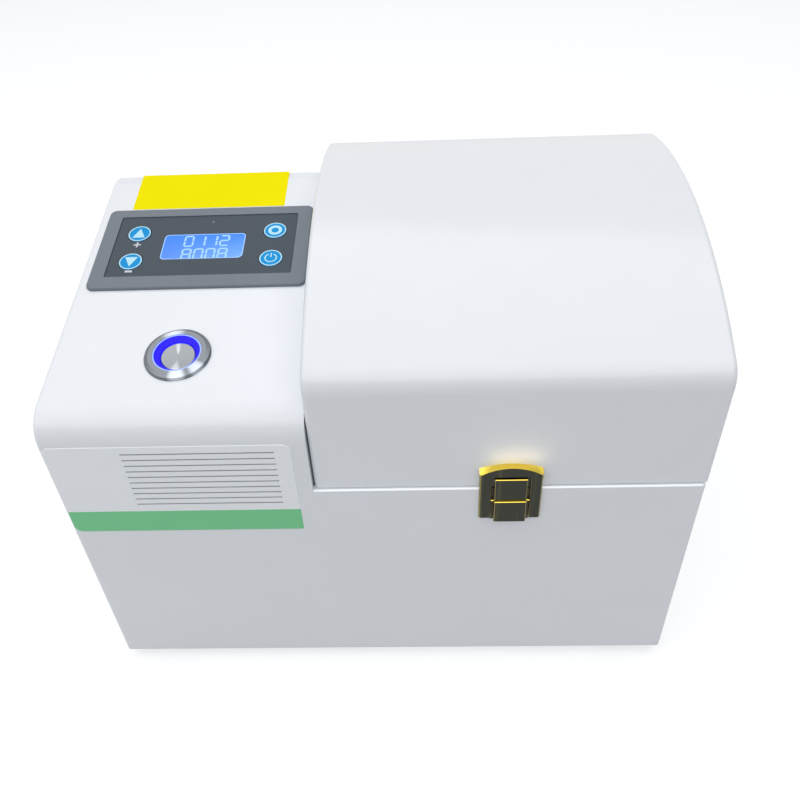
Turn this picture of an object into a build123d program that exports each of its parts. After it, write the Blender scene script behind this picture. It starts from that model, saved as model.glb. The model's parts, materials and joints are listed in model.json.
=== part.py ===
from build123d import *
import math
import os

# Bead mill homogenizer for the bench, in millimetres.
# X runs to the right, Y to the back, Z up. Here Y = 0 is the middle of the housing. The finished parts are
# moved so that the origin is on the table under the middle of the whole machine, latch and hinges included.

# Overall form
WIDTH = 240.0
DEPTH = 150.0
FOOT = 6.0
WALL = 3.0
LID_OVERHANG = 1.1
BODY_HEIGHT = 103.8
HINGE_PROUD = 6.7
LATCH_PROUD = 3.0
EDGE_ROUND = 1.5
RIM_ROUND = 0.7
RUNNING = 0.05
CLEAR = 0.3

LEFT = -(WIDTH + LID_OVERHANG) / 2
RIGHT = LEFT + WIDTH
FRONT = -DEPTH / 2
BACK = DEPTH / 2
SEAM_Z = FOOT + BODY_HEIGHT

# Control section on the left, with a top that rises to the back
SECTION_WIDTH = 96.15
SECTION_RIGHT = LEFT + SECTION_WIDTH
SLOPE = 10.65
SLOPE_RISE = math.tan(math.radians(SLOPE))
SLOPE_FRONT_Z = FOOT + 138.5
SLOPE_BACK_Z = SLOPE_FRONT_Z + DEPTH * SLOPE_RISE
SLOPE_FRONT_ROUND = 12.6
SLOPE_BACK_ROUND = 15.0

# Lid with an arched top
LID_GAP = 0.3
LID_LEFT = LEFT + 96.6
LID_RIGHT = RIGHT + LID_OVERHANG
LID_FRONT = FRONT + 1.2
LID_ARCH_RADIUS = 193.0
LID_ARCH_Y = FRONT + 98.0
LID_TOP_Z = FOOT + 180.0
LID_FRONT_ROUND = 9.5
LID_BACK_ROUND = 8.0
LID_SIDE_ROUND = 2.0

# Rear hinges
PIN_RADIUS = 1.6
KNUCKLE_RADIUS = 3.2
PIN_Y = BACK + HINGE_PROUD - KNUCKLE_RADIUS
PIN_Z = SEAM_Z + LID_GAP / 2
HINGE_WIDTH = 32.0
HINGE_LEAF = 1.4
HINGE_LEAF_HEIGHT = 20.0
HINGE_SPREAD = 88.0
KNUCKLE_GAP = 0.25
HINGE_SCREW_X = (-10, 0, 10)
HINGE_SCREW_UP = 13.0
HINGE_SCREW_HEAD = 2.2
HINGE_SCREW_HOLE = 1.2
BUMPER_LENGTH = 8.0
BUMPER_WIDTH = 1.2

# Working chamber and its tray
CHAMBER_LEFT = SECTION_RIGHT
CHAMBER_RIGHT = RIGHT - WALL
CHAMBER_WIDTH = CHAMBER_RIGHT - CHAMBER_LEFT
CHAMBER_DEPTH = DEPTH - 2 * WALL
ROTOR_X = (CHAMBER_LEFT + CHAMBER_RIGHT) / 2
LEDGE_WIDTH = 5.0
LEDGE_THICK = 3.0
LEDGE_TOP_Z = SEAM_Z - 11.8
TRAY_SHEET = 1.2
TRAY_FLOOR_Z = 94.0
TRAY_SCREW_X = CHAMBER_WIDTH / 2 - 2.8
TRAY_SCREW_Y = CHAMBER_DEPTH / 2 - 20.0
TRAY_SCREW_RADIUS = 1.2
TRAY_SCREW_LENGTH = 4.0
TRAY_SCREW_HEAD = 2.2
TRAY_CORNER = 8.0
COLLAR_RADIUS = 20.0
COLLAR_TOP_Z = 100.5

# Drive, hung on rubber
BASE_SHEET = 2.0
BASE_TOP_Z = FOOT + BASE_SHEET
PLATE_TOP_Z = 90.0
PLATE_THICK = 6.0
PLATE_BOTTOM_Z = PLATE_TOP_Z - PLATE_THICK
PLATE_SIZE = 112.0
MOTOR_RADIUS = 30.0
MOTOR_BOTTOM_Z = 16.0
MOTOR_SCREW_CIRCLE = 21.6
MOTOR_SCREW_RADIUS = 2.0
MOTOR_SCREW_HEAD = 3.5
MOTOR_SCREW_DEPTH = 7.0
SCREW_SINK = 3.4
SHAFT_RADIUS = 4.0
SHAFT_BOTTOM_Z = MOTOR_BOTTOM_Z + 21.0
SHAFT_TOP_Z = 150.0
BELL_HEIGHT = 12.0
PLATE_CORNER = 12.0
SCALLOP_LENGTH = 30.0
SCALLOP_DEPTH = 7.0
SCALLOP_PLACE = 22.0
MOUNT_SPREAD = 46.0
RUBBER_BOTTOM_Z = 66.0
RUBBER_RADIUS = 8.0
RUBBER_WAIST = 2.0
MOUNT_FLANGE = 8.5
MOUNT_POST = 7.0
TRANSIT_THREAD = 2.5
TRANSIT_HOLE = 3.2

# Tilted hub, and the tube carrier that wobbles on it, measured from the middle of its bearings
TILT = 6.0
CENTRE_Z = 142.0
HUB_RADIUS = 14.0
HUB_BOTTOM_Z = 93.0
HUB_UPRIGHT_Z = CENTRE_Z - 14.0
HUB_NECK = 10.0
SET_SCREW_Z = 99.0
SET_SCREW_RADIUS = 2.5
COUNTERWEIGHT_RADIUS = 28.0
COUNTERWEIGHT_Z = (104.0, 116.0)
JOURNAL_RADIUS = 7.5
STUD_RADIUS = 6.0
BEARING_RADIUS = 16.0
BEARING_HALF = 9.0
BEARING_SHIELD = 0.8
INNER_RING_RADIUS = 9.8
CARRIER_RADIUS = 50.0
CARRIER_TOP = 3.0
CARRIER_BOTTOM = -7.0
BOSS_RADIUS = 25.0
BOSS_TOP = 11.5
BOSS_BOTTOM = -11.0
SEAT_COUNT = 8
SEAT_CIRCLE = 38.0
SEAT_RADIUS = 5.7
BAFFLE_RADIUS = 48.0
BAFFLE_THICK = 3.0
BAFFLE_HOLE = 7.2
BAFFLE_TURN = 180.0 / SEAT_COUNT
SCREW_COUNT = 3
SCREW_START = 90.0
SCREW_CIRCLE = 20.5
SCREW_RADIUS = 2.5
SCREW_DEPTH = 9.0
KNOB_RADIUS = 7.0
KNOB_HEIGHT = 10.0
WASHER_THICK = 1.0
WASHER_RADIUS = 5.5
POST_CIRCLE = 47.0
POST_ANGLE = 22.5
POST_RADIUS = 3.0
POST_FLANGE = 4.6
SLEEVE_WALL = 0.8

# Controller module, measured up the slope from its front edge and square to it
CONTROL_X = LEFT + 48.1
CONTROL_V = 90.7
CONTROL_WIDTH = 87.8
CONTROL_DEPTH = 48.4
CONTROL_PROUD = 1.5
OVERLAY_V = 91.3
OVERLAY_WIDTH = 75.3
OVERLAY_DEPTH = 36.75
OVERLAY_TOP = 1.2
OVERLAY_THICK = 0.8
OVERLAY_BOTTOM = OVERLAY_TOP - OVERLAY_THICK
DISPLAY_X = LEFT + 47.95
DISPLAY_V = 90.45
DISPLAY_WIDTH = 34.0
DISPLAY_DEPTH = 15.2
PANEL_CUT = (78.0, 40.0)
MODULE_CASE = (76.0, 38.0, 22.0)
MODULE_WALL = (2.0, 0.8, 2.0)
BOARD_TOP = -4.6
BOARD_THICK = 1.6
SWITCH_SIZE = 6.0
KEY_RADIUS = 4.7
KEY_TOP = OVERLAY_TOP + 0.2
STEM_RADIUS = 1.2
KEY_PLACES = {
    "key_up": (LEFT + 19.8, 99.0),
    "key_down": (LEFT + 19.5, 82.0),
    "key_mode": (LEFT + 76.9, 99.0),
    "key_power": (LEFT + 76.8, 82.05),
}

# Start button, a panel button for a 22 mm hole with a 25 mm head
BUTTON_X = LEFT + 47.5
BUTTON_V = 31.6
BUTTON_HEAD = 12.4
BUTTON_BARREL = 10.9
BUTTON_RING = 9.0
BUTTON_CAP = 6.5
BUTTON_TOP = 1.8
BUTTON_SINK = 2.0
BUTTON_DEPTH = 22.0
BUTTON_NUT = 3.5

# Latch at the middle of the lid's front
LATCH_X = LEFT + 168.85
LATCH_HALF = 11.5
LATCH_CROWN_Z = FOOT + 115.4
LATCH_BACK_CORNER_Z = FOOT + 113.1
LATCH_FRONT_CORNER_Z = FOOT + 111.5
LATCH_LEG_Z = FOOT + 89.1
LATCH_SHEET = 1.0
LATCH_FACE_Y = FRONT - 1.4
LATCH_GATE = 7.05
LATCH_EDGE_ROUND = 0.9
LEVER_HALF = 6.0
LEVER_TOP_Z = FOOT + 110.3
LEVER_ROOM = 0.6
LEVER_SHOULDER_Z = SEAM_Z + 1.0
LEVER_STEP_Z = FOOT + 99.4
LEVER_BOTTOM_Z = FOOT + 88.5
LEVER_UPPER_Y = FRONT - 2.2
LEVER_LOWER_Y = FRONT - LATCH_PROUD
LEVER_UPPER_BACK_Y = FRONT - 0.6
LEVER_LOWER_BACK_Y = FRONT - 1.5
LEVER_SIDE_ROUND = 0.6
LEVER_EDGE_ROUND = 0.35
LATCH_PIN_Y = FRONT - 0.85
LATCH_PIN_Z = LEVER_STEP_Z - 1.2
LATCH_PIN_RADIUS = 0.4
LEVER_EYE = 0.7
HOOK_TOP_Z = LEVER_BOTTOM_Z + 1.6
STRIKE_SHEET = 0.6
STRIKE_LIP_Y = FRONT - 1.0

# Rear wall, base and fixing places
INLET_X = LEFT + 36.0
INLET_Z = FOOT + 27.0
INLET_FLANGE = 2.4
INLET_BODY = (28.0, 18.0, 20.0)
INLET_CAVITY = (24.0, 16.0)
INLET_CAVITY_DEPTH = 15.5
BLADE = (2.0, 22.0, 4.0)
VENT_ROWS = 7
VENT_LENGTH = 38.0
VENT_WIDTH = 3.2
VENT_PITCH = 7.0
VENT_BOTTOM_Z = FOOT + 22.0
VENT_SIDE = 24.0
CABLE_HOLE = 9.0
CABLE_PLACE = (CHAMBER_LEFT, 40.0, 40.0)
SCREW_BOSS = 4.5
SUNK_HEAD = 3.3
SUNK_NECK = 1.7
SUNK_SHANK = 1.5
SUNK_LENGTH = 12.0
BOSS_LENGTH = 18.0
FOOT_RADIUS = 9.0
FOOT_SCREW = 2.0
FOOT_SCREW_HEAD = 3.8
FOOT_RECESS = 4.5
FOOT_RECESS_DEPTH = 3.0
AIR_SLOTS = 7
AIR_SLOT_LENGTH = 32.0
AIR_SLOT_WIDTH = 3.0
AIR_SLOT_PITCH = 7.0
SUPPLY_SIZE = (76.0, 96.0, 34.0)
SUPPLY_PLACE = (LEFT + 47.0, -14.0)
SUPPLY_SLOTS = 7
SUPPLY_SLOT_PITCH = 11.0
DRIVER_BOARD = (1.6, 60.0, 50.0)
DRIVER_STANDOFF = 7.0
DRIVER_SINK = (44.0, 30.0)
DRIVER_SINK_BASE = 3.0
DRIVER_FIN_LENGTH = 13.4
DRIVER_FIN_THICK = 1.6
DRIVER_FINS = 6
DRIVER_LOW_Z = FOOT + 40.0
BOSS_INSET = 6.5
BOSS_X = (LEFT + BOSS_INSET, SECTION_RIGHT + 4.4, RIGHT - BOSS_INSET)
BOSS_PLACES = [(x, y) for x in BOSS_X for y in (FRONT + BOSS_INSET, BACK - BOSS_INSET)]
FOOT_PLACES = [(x, y) for x in (LEFT + 20, RIGHT - 20) for y in (FRONT + 20, BACK - 20)]
MOUNT_PLACES = [(ROTOR_X + sx * MOUNT_SPREAD, sy * MOUNT_SPREAD) for sx in (-1, 1) for sy in (-1, 1)]
TRANSIT_PLACES = [(ROTOR_X + sx * MOUNT_SPREAD, 0) for sx in (-1, 1)]
TRANSIT_PLACES += [(ROTOR_X, sy * MOUNT_SPREAD) for sy in (-1, 1)]

# The middle of the whole machine from front to back: the hinges stand out further than the latch does.
MIDDLE_Y = (HINGE_PROUD - LATCH_PROUD) / 2

SLOPE_FRAME = Location((0, FRONT, SLOPE_FRONT_Z), (SLOPE, 0, 0))
CARRIER_FRAME = Location((ROTOR_X, 0, CENTRE_Z), (0, TILT, 0))


def block(x0, x1, y0, y1, z0, z1):
    """A rectangular solid between two corners."""
    return Pos((x0 + x1) / 2, (y0 + y1) / 2, (z0 + z1) / 2) * Box(x1 - x0, y1 - y0, z1 - z0)


def rod(radius, z0, z1):
    """An upright cylinder on the Z axis."""
    return Pos(0, 0, (z0 + z1) / 2) * Cylinder(radius, z1 - z0)


def cross_rod(radius, length):
    """A cylinder along X about the origin."""
    return Rot(0, 90, 0) * Cylinder(radius, length)


def tube(outer, inner, z0, z1):
    """An upright ring on the Z axis."""
    return rod(outer, z0, z1) - rod(inner, z0 - 1, z1 + 1)


def round_plate(width, depth, radius, z0, z1):
    """A flat plate with rounded corners, centred on the Z axis."""
    return Pos(0, 0, z0) * extrude(RectangleRounded(width, depth, radius), z1 - z0)


def turned(points):
    """A solid of revolution about Z from a closed outline of (radius, z)."""
    outline = make_face(Polyline(*[(r, 0, z) for r, z in points], close=True))
    return revolve(outline, Axis.Z)


def on_slope(shape, x, v):
    """Puts a shape on the control section's sloping top."""
    return SLOPE_FRAME * Pos(x, v, 0) * shape


def about_rotor(shape, angle=0.0, radius=0.0):
    """Moves a shape from the Z axis to the rotor's upright axis, or to a point round it."""
    return Pos(ROTOR_X, 0, 0) * Rot(0, 0, angle) * Pos(radius, 0, 0) * shape


def on_carrier(shape, angle=0.0, radius=0.0):
    """Moves a shape from the Z axis to the carrier's tilted axis, or to a point round it."""
    return CARRIER_FRAME * Rot(0, 0, angle) * Pos(radius, 0, 0) * shape


def cross_slot(size, width, depth, z):
    """The recess of a cross-head screw, sunk down from z."""
    return Pos(0, 0, z - depth / 2) * (Box(size, width, depth) + Box(width, size, depth))


def section_solid(inset):
    """The control section as a full solid, drawn in from its outside by inset."""
    bottom = FOOT - (1 if inset else 0)
    lean = inset / math.cos(math.radians(SLOPE))
    front_z = SLOPE_FRONT_Z + inset * SLOPE_RISE - lean
    back_z = SLOPE_BACK_Z - inset * SLOPE_RISE - lean
    corners = [
        (FRONT + inset, bottom),
        (FRONT + inset, front_z),
        (BACK - inset, back_z),
        (BACK - inset, bottom),
    ]
    outline = make_face(Polyline(*corners, close=True))
    front_top = outline.vertices().sort_by_distance((FRONT + inset, front_z))[0]
    outline = fillet(front_top, SLOPE_FRONT_ROUND - inset)
    back_top = outline.vertices().sort_by_distance((BACK - inset, back_z))[0]
    outline = fillet(back_top, SLOPE_BACK_ROUND - inset)
    return Pos(LEFT + inset, 0, 0) * extrude(Plane.YZ * outline, SECTION_WIDTH - 2 * inset)


def make_housing():
    """The one-piece shell: a low box on the right and the control section on the left."""
    outer = section_solid(0) + block(LEFT, RIGHT, FRONT, BACK, FOOT, SEAM_Z)
    corners = [e for e in outer.edges().filter_by(Axis.Z) if e.length > BODY_HEIGHT - 1]
    outer = fillet(corners, EDGE_ROUND)
    rim = [e for e in outer.edges() if abs(e.center().Z - SEAM_Z) < 0.01 and e.center().X > SECTION_RIGHT + 1]
    outer = fillet(rim, RIM_ROUND)
    shell = outer - section_solid(WALL)
    shell -= block(CHAMBER_LEFT, CHAMBER_RIGHT, FRONT + WALL, BACK - WALL, FOOT - 1, SEAM_Z + 1)
    shell -= block(LEFT + WALL, RIGHT - WALL, FRONT + WALL, BACK - WALL, FOOT - 1, BASE_TOP_Z)
    shell += make_ledge()
    for x, y in BOSS_PLACES:
        shell += Pos(x, y, 0) * tube(SCREW_BOSS, SUNK_SHANK, BASE_TOP_Z, BASE_TOP_Z + BOSS_LENGTH)
    shell -= on_slope(Box(*PANEL_CUT, 30), CONTROL_X, CONTROL_V)
    shell -= on_slope(rod(BUTTON_BARREL + 0.1, -20, 20), BUTTON_X, BUTTON_V)
    shell -= Pos(INLET_X, BACK, INLET_Z) * Box(*INLET_BODY)
    slot = extrude(Plane.XZ * SlotOverall(VENT_LENGTH, VENT_WIDTH), 12)
    for row in range(VENT_ROWS):
        for side in (-VENT_SIDE, VENT_SIDE):
            shell -= Pos(ROTOR_X + side, BACK + 5, VENT_BOTTOM_Z + row * VENT_PITCH) * slot
    shell -= Pos(*CABLE_PLACE) * cross_rod(CABLE_HOLE, 12)
    return shell


def make_ledge():
    """The step inside the chamber walls that the tray lies on."""
    outer = block(
        CHAMBER_LEFT, CHAMBER_RIGHT, FRONT + WALL, BACK - WALL, LEDGE_TOP_Z - LEDGE_THICK, LEDGE_TOP_Z
    )
    opening = Pos(ROTOR_X, 0, LEDGE_TOP_Z) * Box(
        CHAMBER_WIDTH - 2 * LEDGE_WIDTH, CHAMBER_DEPTH - 2 * LEDGE_WIDTH, 20
    )
    ledge = outer - opening
    for sx in (-1, 1):
        for sy in (-1, 1):
            hole = Cylinder(TRAY_SCREW_RADIUS, 20)
            ledge -= Pos(ROTOR_X + sx * TRAY_SCREW_X, sy * TRAY_SCREW_Y, LEDGE_TOP_Z) * hole
    return ledge


def lid_outline(inset):
    """The lid's side view: upright front and back walls under an arch, rounded where they meet it."""
    front = LID_FRONT + inset
    back = BACK - inset
    radius = LID_ARCH_RADIUS - inset
    centre_z = LID_TOP_Z - LID_ARCH_RADIUS
    bottom = SEAM_Z + LID_GAP - (1 if inset else 0)
    front_top = centre_z + math.sqrt(radius**2 - (front - LID_ARCH_Y) ** 2)
    back_top = centre_z + math.sqrt(radius**2 - (back - LID_ARCH_Y) ** 2)
    arch = ThreePointArc((front, front_top), (LID_ARCH_Y, centre_z + radius), (back, back_top))
    sides = Polyline((back, back_top), (back, bottom), (front, bottom), (front, front_top))
    outline = make_face(arch.edges() + sides.edges())
    front_corner = outline.vertices().sort_by_distance((front, front_top))[0]
    outline = fillet(front_corner, LID_FRONT_ROUND - inset)
    back_corner = outline.vertices().sort_by_distance((back, back_top))[0]
    outline = fillet(back_corner, LID_BACK_ROUND - inset)
    return Plane.YZ * outline


def make_lid():
    """The lid: an arched shell with closed ends and an open underside."""
    outer = Pos(LID_LEFT, 0, 0) * extrude(lid_outline(0), LID_RIGHT - LID_LEFT)
    ends = []
    for edge in outer.edges():
        at_end = min(abs(edge.center().X - LID_LEFT), abs(edge.center().X - LID_RIGHT)) < 0.01
        if at_end and edge.center().Z > SEAM_Z + LID_GAP + 0.1:
            ends.append(edge)
    outer = fillet(ends, LID_SIDE_ROUND)
    room = Pos(LID_LEFT + WALL, 0, 0) * extrude(lid_outline(WALL), LID_RIGHT - LID_LEFT - 2 * WALL)
    return outer - room


def make_lid_bumpers():
    """Thin rubber pads on the housing's rim that the closed lid rests on, out of sight under its walls."""
    pad = round_plate(BUMPER_LENGTH, BUMPER_WIDTH, BUMPER_WIDTH / 2 - 0.05, SEAM_Z, SEAM_Z + LID_GAP)
    front_y = (LID_FRONT + FRONT + WALL) / 2 + 0.2
    back_y = BACK - WALL / 2
    return [Pos(x, y, 0) * pad for x in (CHAMBER_LEFT + 30, RIGHT - 18) for y in (front_y, back_y)]


def make_base_plate():
    """The steel bottom sheet, with holes for the feet, the transit screws and air."""
    plate = block(
        LEFT + WALL + CLEAR, RIGHT - WALL - CLEAR, FRONT + WALL + CLEAR, BACK - WALL - CLEAR, FOOT, BASE_TOP_Z
    )
    for x, y in BOSS_PLACES:
        plate -= Pos(x, y, FOOT + BASE_SHEET / 2) * Cone(SUNK_HEAD, SUNK_NECK, BASE_SHEET)
    for x, y in FOOT_PLACES:
        plate -= Pos(x, y, FOOT) * Cylinder(FOOT_SCREW, 10)
    for x, y in TRANSIT_PLACES:
        plate -= Pos(x, y, FOOT) * Cylinder(TRANSIT_HOLE, 10)
    slot = extrude(SlotOverall(AIR_SLOT_LENGTH, AIR_SLOT_WIDTH, rotation=90), 8)
    for i in range(AIR_SLOTS):
        plate -= Pos(ROTOR_X + AIR_SLOT_PITCH * (i - (AIR_SLOTS - 1) / 2), 0, FOOT - 2) * slot
    return plate


def make_bottom_screws():
    """Countersunk screws of the base plate, and pan-head screws up through the feet."""
    tip = FOOT + SUNK_LENGTH
    outline = [
        (0, FOOT),
        (SUNK_HEAD, FOOT),
        (SUNK_NECK, BASE_TOP_Z),
        (SUNK_SHANK, BASE_TOP_Z),
        (SUNK_SHANK, tip),
        (0, tip),
    ]
    sunk = turned(outline) - cross_slot(3.4, 0.8, 1.2, FOOT + 1.2)
    head, low = FOOT_SCREW_HEAD, 1.2
    outline = [
        (0, low),
        (head - 0.6, low),
        (head, low + 0.8),
        (head, FOOT_RECESS_DEPTH),
        (FOOT_SCREW, FOOT_RECESS_DEPTH),
        (FOOT_SCREW, BASE_TOP_Z),
        (0, BASE_TOP_Z),
    ]
    pan = turned(outline) - cross_slot(4, 0.8, 1, low + 1)
    screws = [Pos(x, y, 0) * sunk for x, y in BOSS_PLACES]
    return screws + [Pos(x, y, 0) * pan for x, y in FOOT_PLACES]


def make_feet():
    """Rubber feet, slightly tapered, with a recess for the screw."""
    outline = [
        (FOOT_SCREW, FOOT_RECESS_DEPTH),
        (FOOT_RECESS, FOOT_RECESS_DEPTH),
        (FOOT_RECESS, 0),
        (FOOT_RADIUS - 1, 0),
        (FOOT_RADIUS - 0.4, 0.8),
        (FOOT_RADIUS, FOOT),
        (FOOT_SCREW, FOOT),
    ]
    foot = turned(outline)
    return [Pos(x, y, 0) * foot for x, y in FOOT_PLACES]


def hinge_leaf(side, spans):
    """One hinge leaf, up or down by side, with a knuckle over each span along the pin."""
    clear = KNUCKLE_RADIUS + 0.4
    near, far = PIN_Z + side * clear, PIN_Z + side * HINGE_LEAF_HEIGHT
    leaf = block(-HINGE_WIDTH / 2, HINGE_WIDTH / 2, BACK, BACK + HINGE_LEAF, min(near, far), max(near, far))
    for a, b in spans:
        leaf += Pos((a + b) / 2, PIN_Y, PIN_Z) * cross_rod(KNUCKLE_RADIUS, b - a)
        inner_y = BACK + CLEAR
        leaf += block(a, b, inner_y, inner_y + HINGE_LEAF, min(PIN_Z, near), max(PIN_Z, near))
        overlap = near + side * 2
        leaf += block(a, b, BACK, inner_y + HINGE_LEAF, min(near, overlap), max(near, overlap))
    bore = PIN_RADIUS + (RUNNING if side > 0 else 0)
    leaf -= Pos(0, PIN_Y, PIN_Z) * cross_rod(bore, HINGE_WIDTH + 2)
    hole = Rot(90, 0, 0) * Cone(HINGE_SCREW_HEAD, HINGE_SCREW_HOLE, HINGE_LEAF)
    for x in HINGE_SCREW_X:
        leaf -= Pos(x, BACK + HINGE_LEAF / 2, PIN_Z + side * HINGE_SCREW_UP) * hole
    return [Pos(ROTOR_X + sx * HINGE_SPREAD / 2, 0, 0) * leaf for sx in (-1, 1)]


def make_hinge_base_leaves():
    """The lower leaves of both hinges, each with the two outer knuckles."""
    inner = HINGE_WIDTH / 6 + KNUCKLE_GAP
    outer = HINGE_WIDTH / 2
    return hinge_leaf(-1, [(-outer, -inner), (inner, outer)])


def make_hinge_lid_leaves():
    """The upper leaves of both hinges, each with the middle knuckle."""
    half = HINGE_WIDTH / 6 - KNUCKLE_GAP
    return hinge_leaf(1, [(-half, half)])


def make_hinge_pins():
    """The hinge pins, fast in the lower leaves' knuckles."""
    pin = Pos(0, PIN_Y, PIN_Z) * cross_rod(PIN_RADIUS, HINGE_WIDTH)
    return [Pos(ROTOR_X + sx * HINGE_SPREAD / 2, 0, 0) * pin for sx in (-1, 1)]


def make_tray():
    """The pressed steel tray under the rotor, with a raised collar round the hub."""
    top = LEDGE_TOP_Z + TRAY_SHEET
    pan_width = CHAMBER_WIDTH - 2 * LEDGE_WIDTH - 1
    pan_depth = CHAMBER_DEPTH - 2 * LEDGE_WIDTH - 1
    tray = round_plate(CHAMBER_WIDTH - 2 * CLEAR, CHAMBER_DEPTH - 2 * CLEAR, 3, LEDGE_TOP_Z, top)
    tray += round_plate(pan_width, pan_depth, TRAY_CORNER, TRAY_FLOOR_Z, top)
    inner_width = pan_width - 2 * TRAY_SHEET
    inner_depth = pan_depth - 2 * TRAY_SHEET
    tray -= round_plate(inner_width, inner_depth, TRAY_CORNER - TRAY_SHEET, TRAY_FLOOR_Z + TRAY_SHEET, SEAM_Z)
    tray += rod(COLLAR_RADIUS + TRAY_SHEET, TRAY_FLOOR_Z, COLLAR_TOP_Z)
    tray -= rod(COLLAR_RADIUS, TRAY_FLOOR_Z - 1, COLLAR_TOP_Z + 1)
    tray -= Rot(0, 0, POST_ANGLE) * Pos(POST_CIRCLE, 0, TRAY_FLOOR_Z) * Cylinder(POST_RADIUS + 2, 10)
    for sx in (-1, 1):
        for sy in (-1, 1):
            tray -= Pos(sx * TRAY_SCREW_X, sy * TRAY_SCREW_Y, top) * Cylinder(TRAY_SCREW_RADIUS + 0.2, 10)
    return about_rotor(tray)


def make_tray_screws():
    """Small pan-head screws that hold the tray's flange to the ledge."""
    top = LEDGE_TOP_Z + TRAY_SHEET
    tip, crown = top - TRAY_SCREW_LENGTH, top + 1.6
    outline = [
        (0, tip),
        (TRAY_SCREW_RADIUS, tip),
        (TRAY_SCREW_RADIUS, top),
        (TRAY_SCREW_HEAD, top),
        (TRAY_SCREW_HEAD, crown - 0.6),
        (TRAY_SCREW_HEAD - 0.6, crown),
        (0, crown),
    ]
    screw = turned(outline) - cross_slot(2.6, 0.6, 0.8, crown)
    return [Pos(ROTOR_X + sx * TRAY_SCREW_X, sy * TRAY_SCREW_Y, 0) * screw for sx in (-1, 1) for sy in (-1, 1)]


def make_mount_posts():
    """Flanged steel posts on the base plate that carry the rubber mounts."""
    outline = [
        (0, BASE_TOP_Z),
        (MOUNT_FLANGE, BASE_TOP_Z),
        (MOUNT_FLANGE, BASE_TOP_Z + 3),
        (MOUNT_POST, BASE_TOP_Z + 5),
        (MOUNT_POST, RUBBER_BOTTOM_Z),
        (0, RUBBER_BOTTOM_Z),
    ]
    post = turned(outline)
    return [Pos(x, y, 0) * post for x, y in MOUNT_PLACES]


def make_rubber_mounts():
    """Waisted rubber buffers between the posts and the drive plate."""
    low, high = (RUBBER_RADIUS, 0, RUBBER_BOTTOM_Z), (RUBBER_RADIUS, 0, PLATE_BOTTOM_Z)
    waist = ThreePointArc(low, (RUBBER_RADIUS - RUBBER_WAIST, 0, (RUBBER_BOTTOM_Z + PLATE_BOTTOM_Z) / 2), high)
    rest = Polyline(high, (0, 0, PLATE_BOTTOM_Z), (0, 0, RUBBER_BOTTOM_Z), low)
    mount = revolve(make_face(waist.edges() + rest.edges()), Axis.Z)
    return [Pos(x, y, 0) * mount for x, y in MOUNT_PLACES]


def make_drive_plate():
    """The aluminium plate that carries motor and guide post, with scalloped sides."""
    plate = round_plate(PLATE_SIZE, PLATE_SIZE, PLATE_CORNER, PLATE_BOTTOM_Z, PLATE_TOP_Z)
    scallop = extrude(SlotOverall(SCALLOP_LENGTH, 2 * SCALLOP_DEPTH), PLATE_THICK + 2)
    scallop = Pos(0, 0, PLATE_BOTTOM_Z - 1) * scallop
    for quarter in range(4):
        for side in (-1, 1):
            plate -= Rot(0, 0, 90 * quarter) * Pos(side * SCALLOP_PLACE, PLATE_SIZE / 2, 0) * scallop
    plate -= rod(SHAFT_RADIUS + 4, PLATE_BOTTOM_Z - 1, PLATE_TOP_Z + 1)
    hole = rod(MOTOR_SCREW_RADIUS, PLATE_BOTTOM_Z - 1, PLATE_TOP_Z + 1)
    hole += rod(MOTOR_SCREW_HEAD + 0.5, PLATE_TOP_Z - SCREW_SINK, PLATE_TOP_Z + 1)
    for quarter in range(4):
        plate -= Rot(0, 0, 45 + 90 * quarter) * Pos(MOTOR_SCREW_CIRCLE, 0, 0) * hole
    return about_rotor(plate)


def make_motor_case():
    """The motor: a can between two end bells, with air slots and a bore for the shaft."""
    bell = MOTOR_RADIUS - 1
    case = turned(
        [
            (0, MOTOR_BOTTOM_Z),
            (bell - 3, MOTOR_BOTTOM_Z),
            (bell, MOTOR_BOTTOM_Z + 3),
            (bell, MOTOR_BOTTOM_Z + BELL_HEIGHT),
            (MOTOR_RADIUS, MOTOR_BOTTOM_Z + BELL_HEIGHT),
            (MOTOR_RADIUS, PLATE_BOTTOM_Z - BELL_HEIGHT),
            (bell, PLATE_BOTTOM_Z - BELL_HEIGHT),
            (bell, PLATE_BOTTOM_Z),
            (0, PLATE_BOTTOM_Z),
        ]
    )
    case -= rod(SHAFT_RADIUS + RUNNING, SHAFT_BOTTOM_Z - 1, PLATE_BOTTOM_Z + 1)
    for i in range(8):
        case -= Rot(0, 0, 45 * i) * Pos(MOTOR_RADIUS, 0, MOTOR_BOTTOM_Z + 7.5) * Box(6, 8, 5)
    hole = Cylinder(MOTOR_SCREW_RADIUS, 2 * (MOTOR_SCREW_DEPTH + 1))
    for quarter in range(4):
        case -= Rot(0, 0, 45 + 90 * quarter) * Pos(MOTOR_SCREW_CIRCLE, 0, PLATE_BOTTOM_Z) * hole
    return about_rotor(case)


def make_motor_screws():
    """Socket-head screws sunk in the drive plate, into the motor's end bell."""
    low, seat = PLATE_BOTTOM_Z - MOTOR_SCREW_DEPTH, PLATE_TOP_Z - SCREW_SINK
    high = seat + 3
    shank, head = MOTOR_SCREW_RADIUS, MOTOR_SCREW_HEAD
    screw = turned([(0, low), (shank, low), (shank, seat), (head, seat), (head, high), (0, high)])
    screw -= Pos(0, 0, high - 2) * extrude(RegularPolygon(1.7, 6), 3)
    return [about_rotor(screw, 45 + 90 * quarter, MOTOR_SCREW_CIRCLE) for quarter in range(4)]


def make_transit_sleeves():
    """Threaded sleeves under the drive plate that the transit screws go into."""
    sleeve = tube(2 * TRANSIT_THREAD, TRANSIT_THREAD, MOTOR_BOTTOM_Z - 2, PLATE_BOTTOM_Z)
    return [Pos(x, y, 0) * sleeve for x, y in TRANSIT_PLACES]


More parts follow.
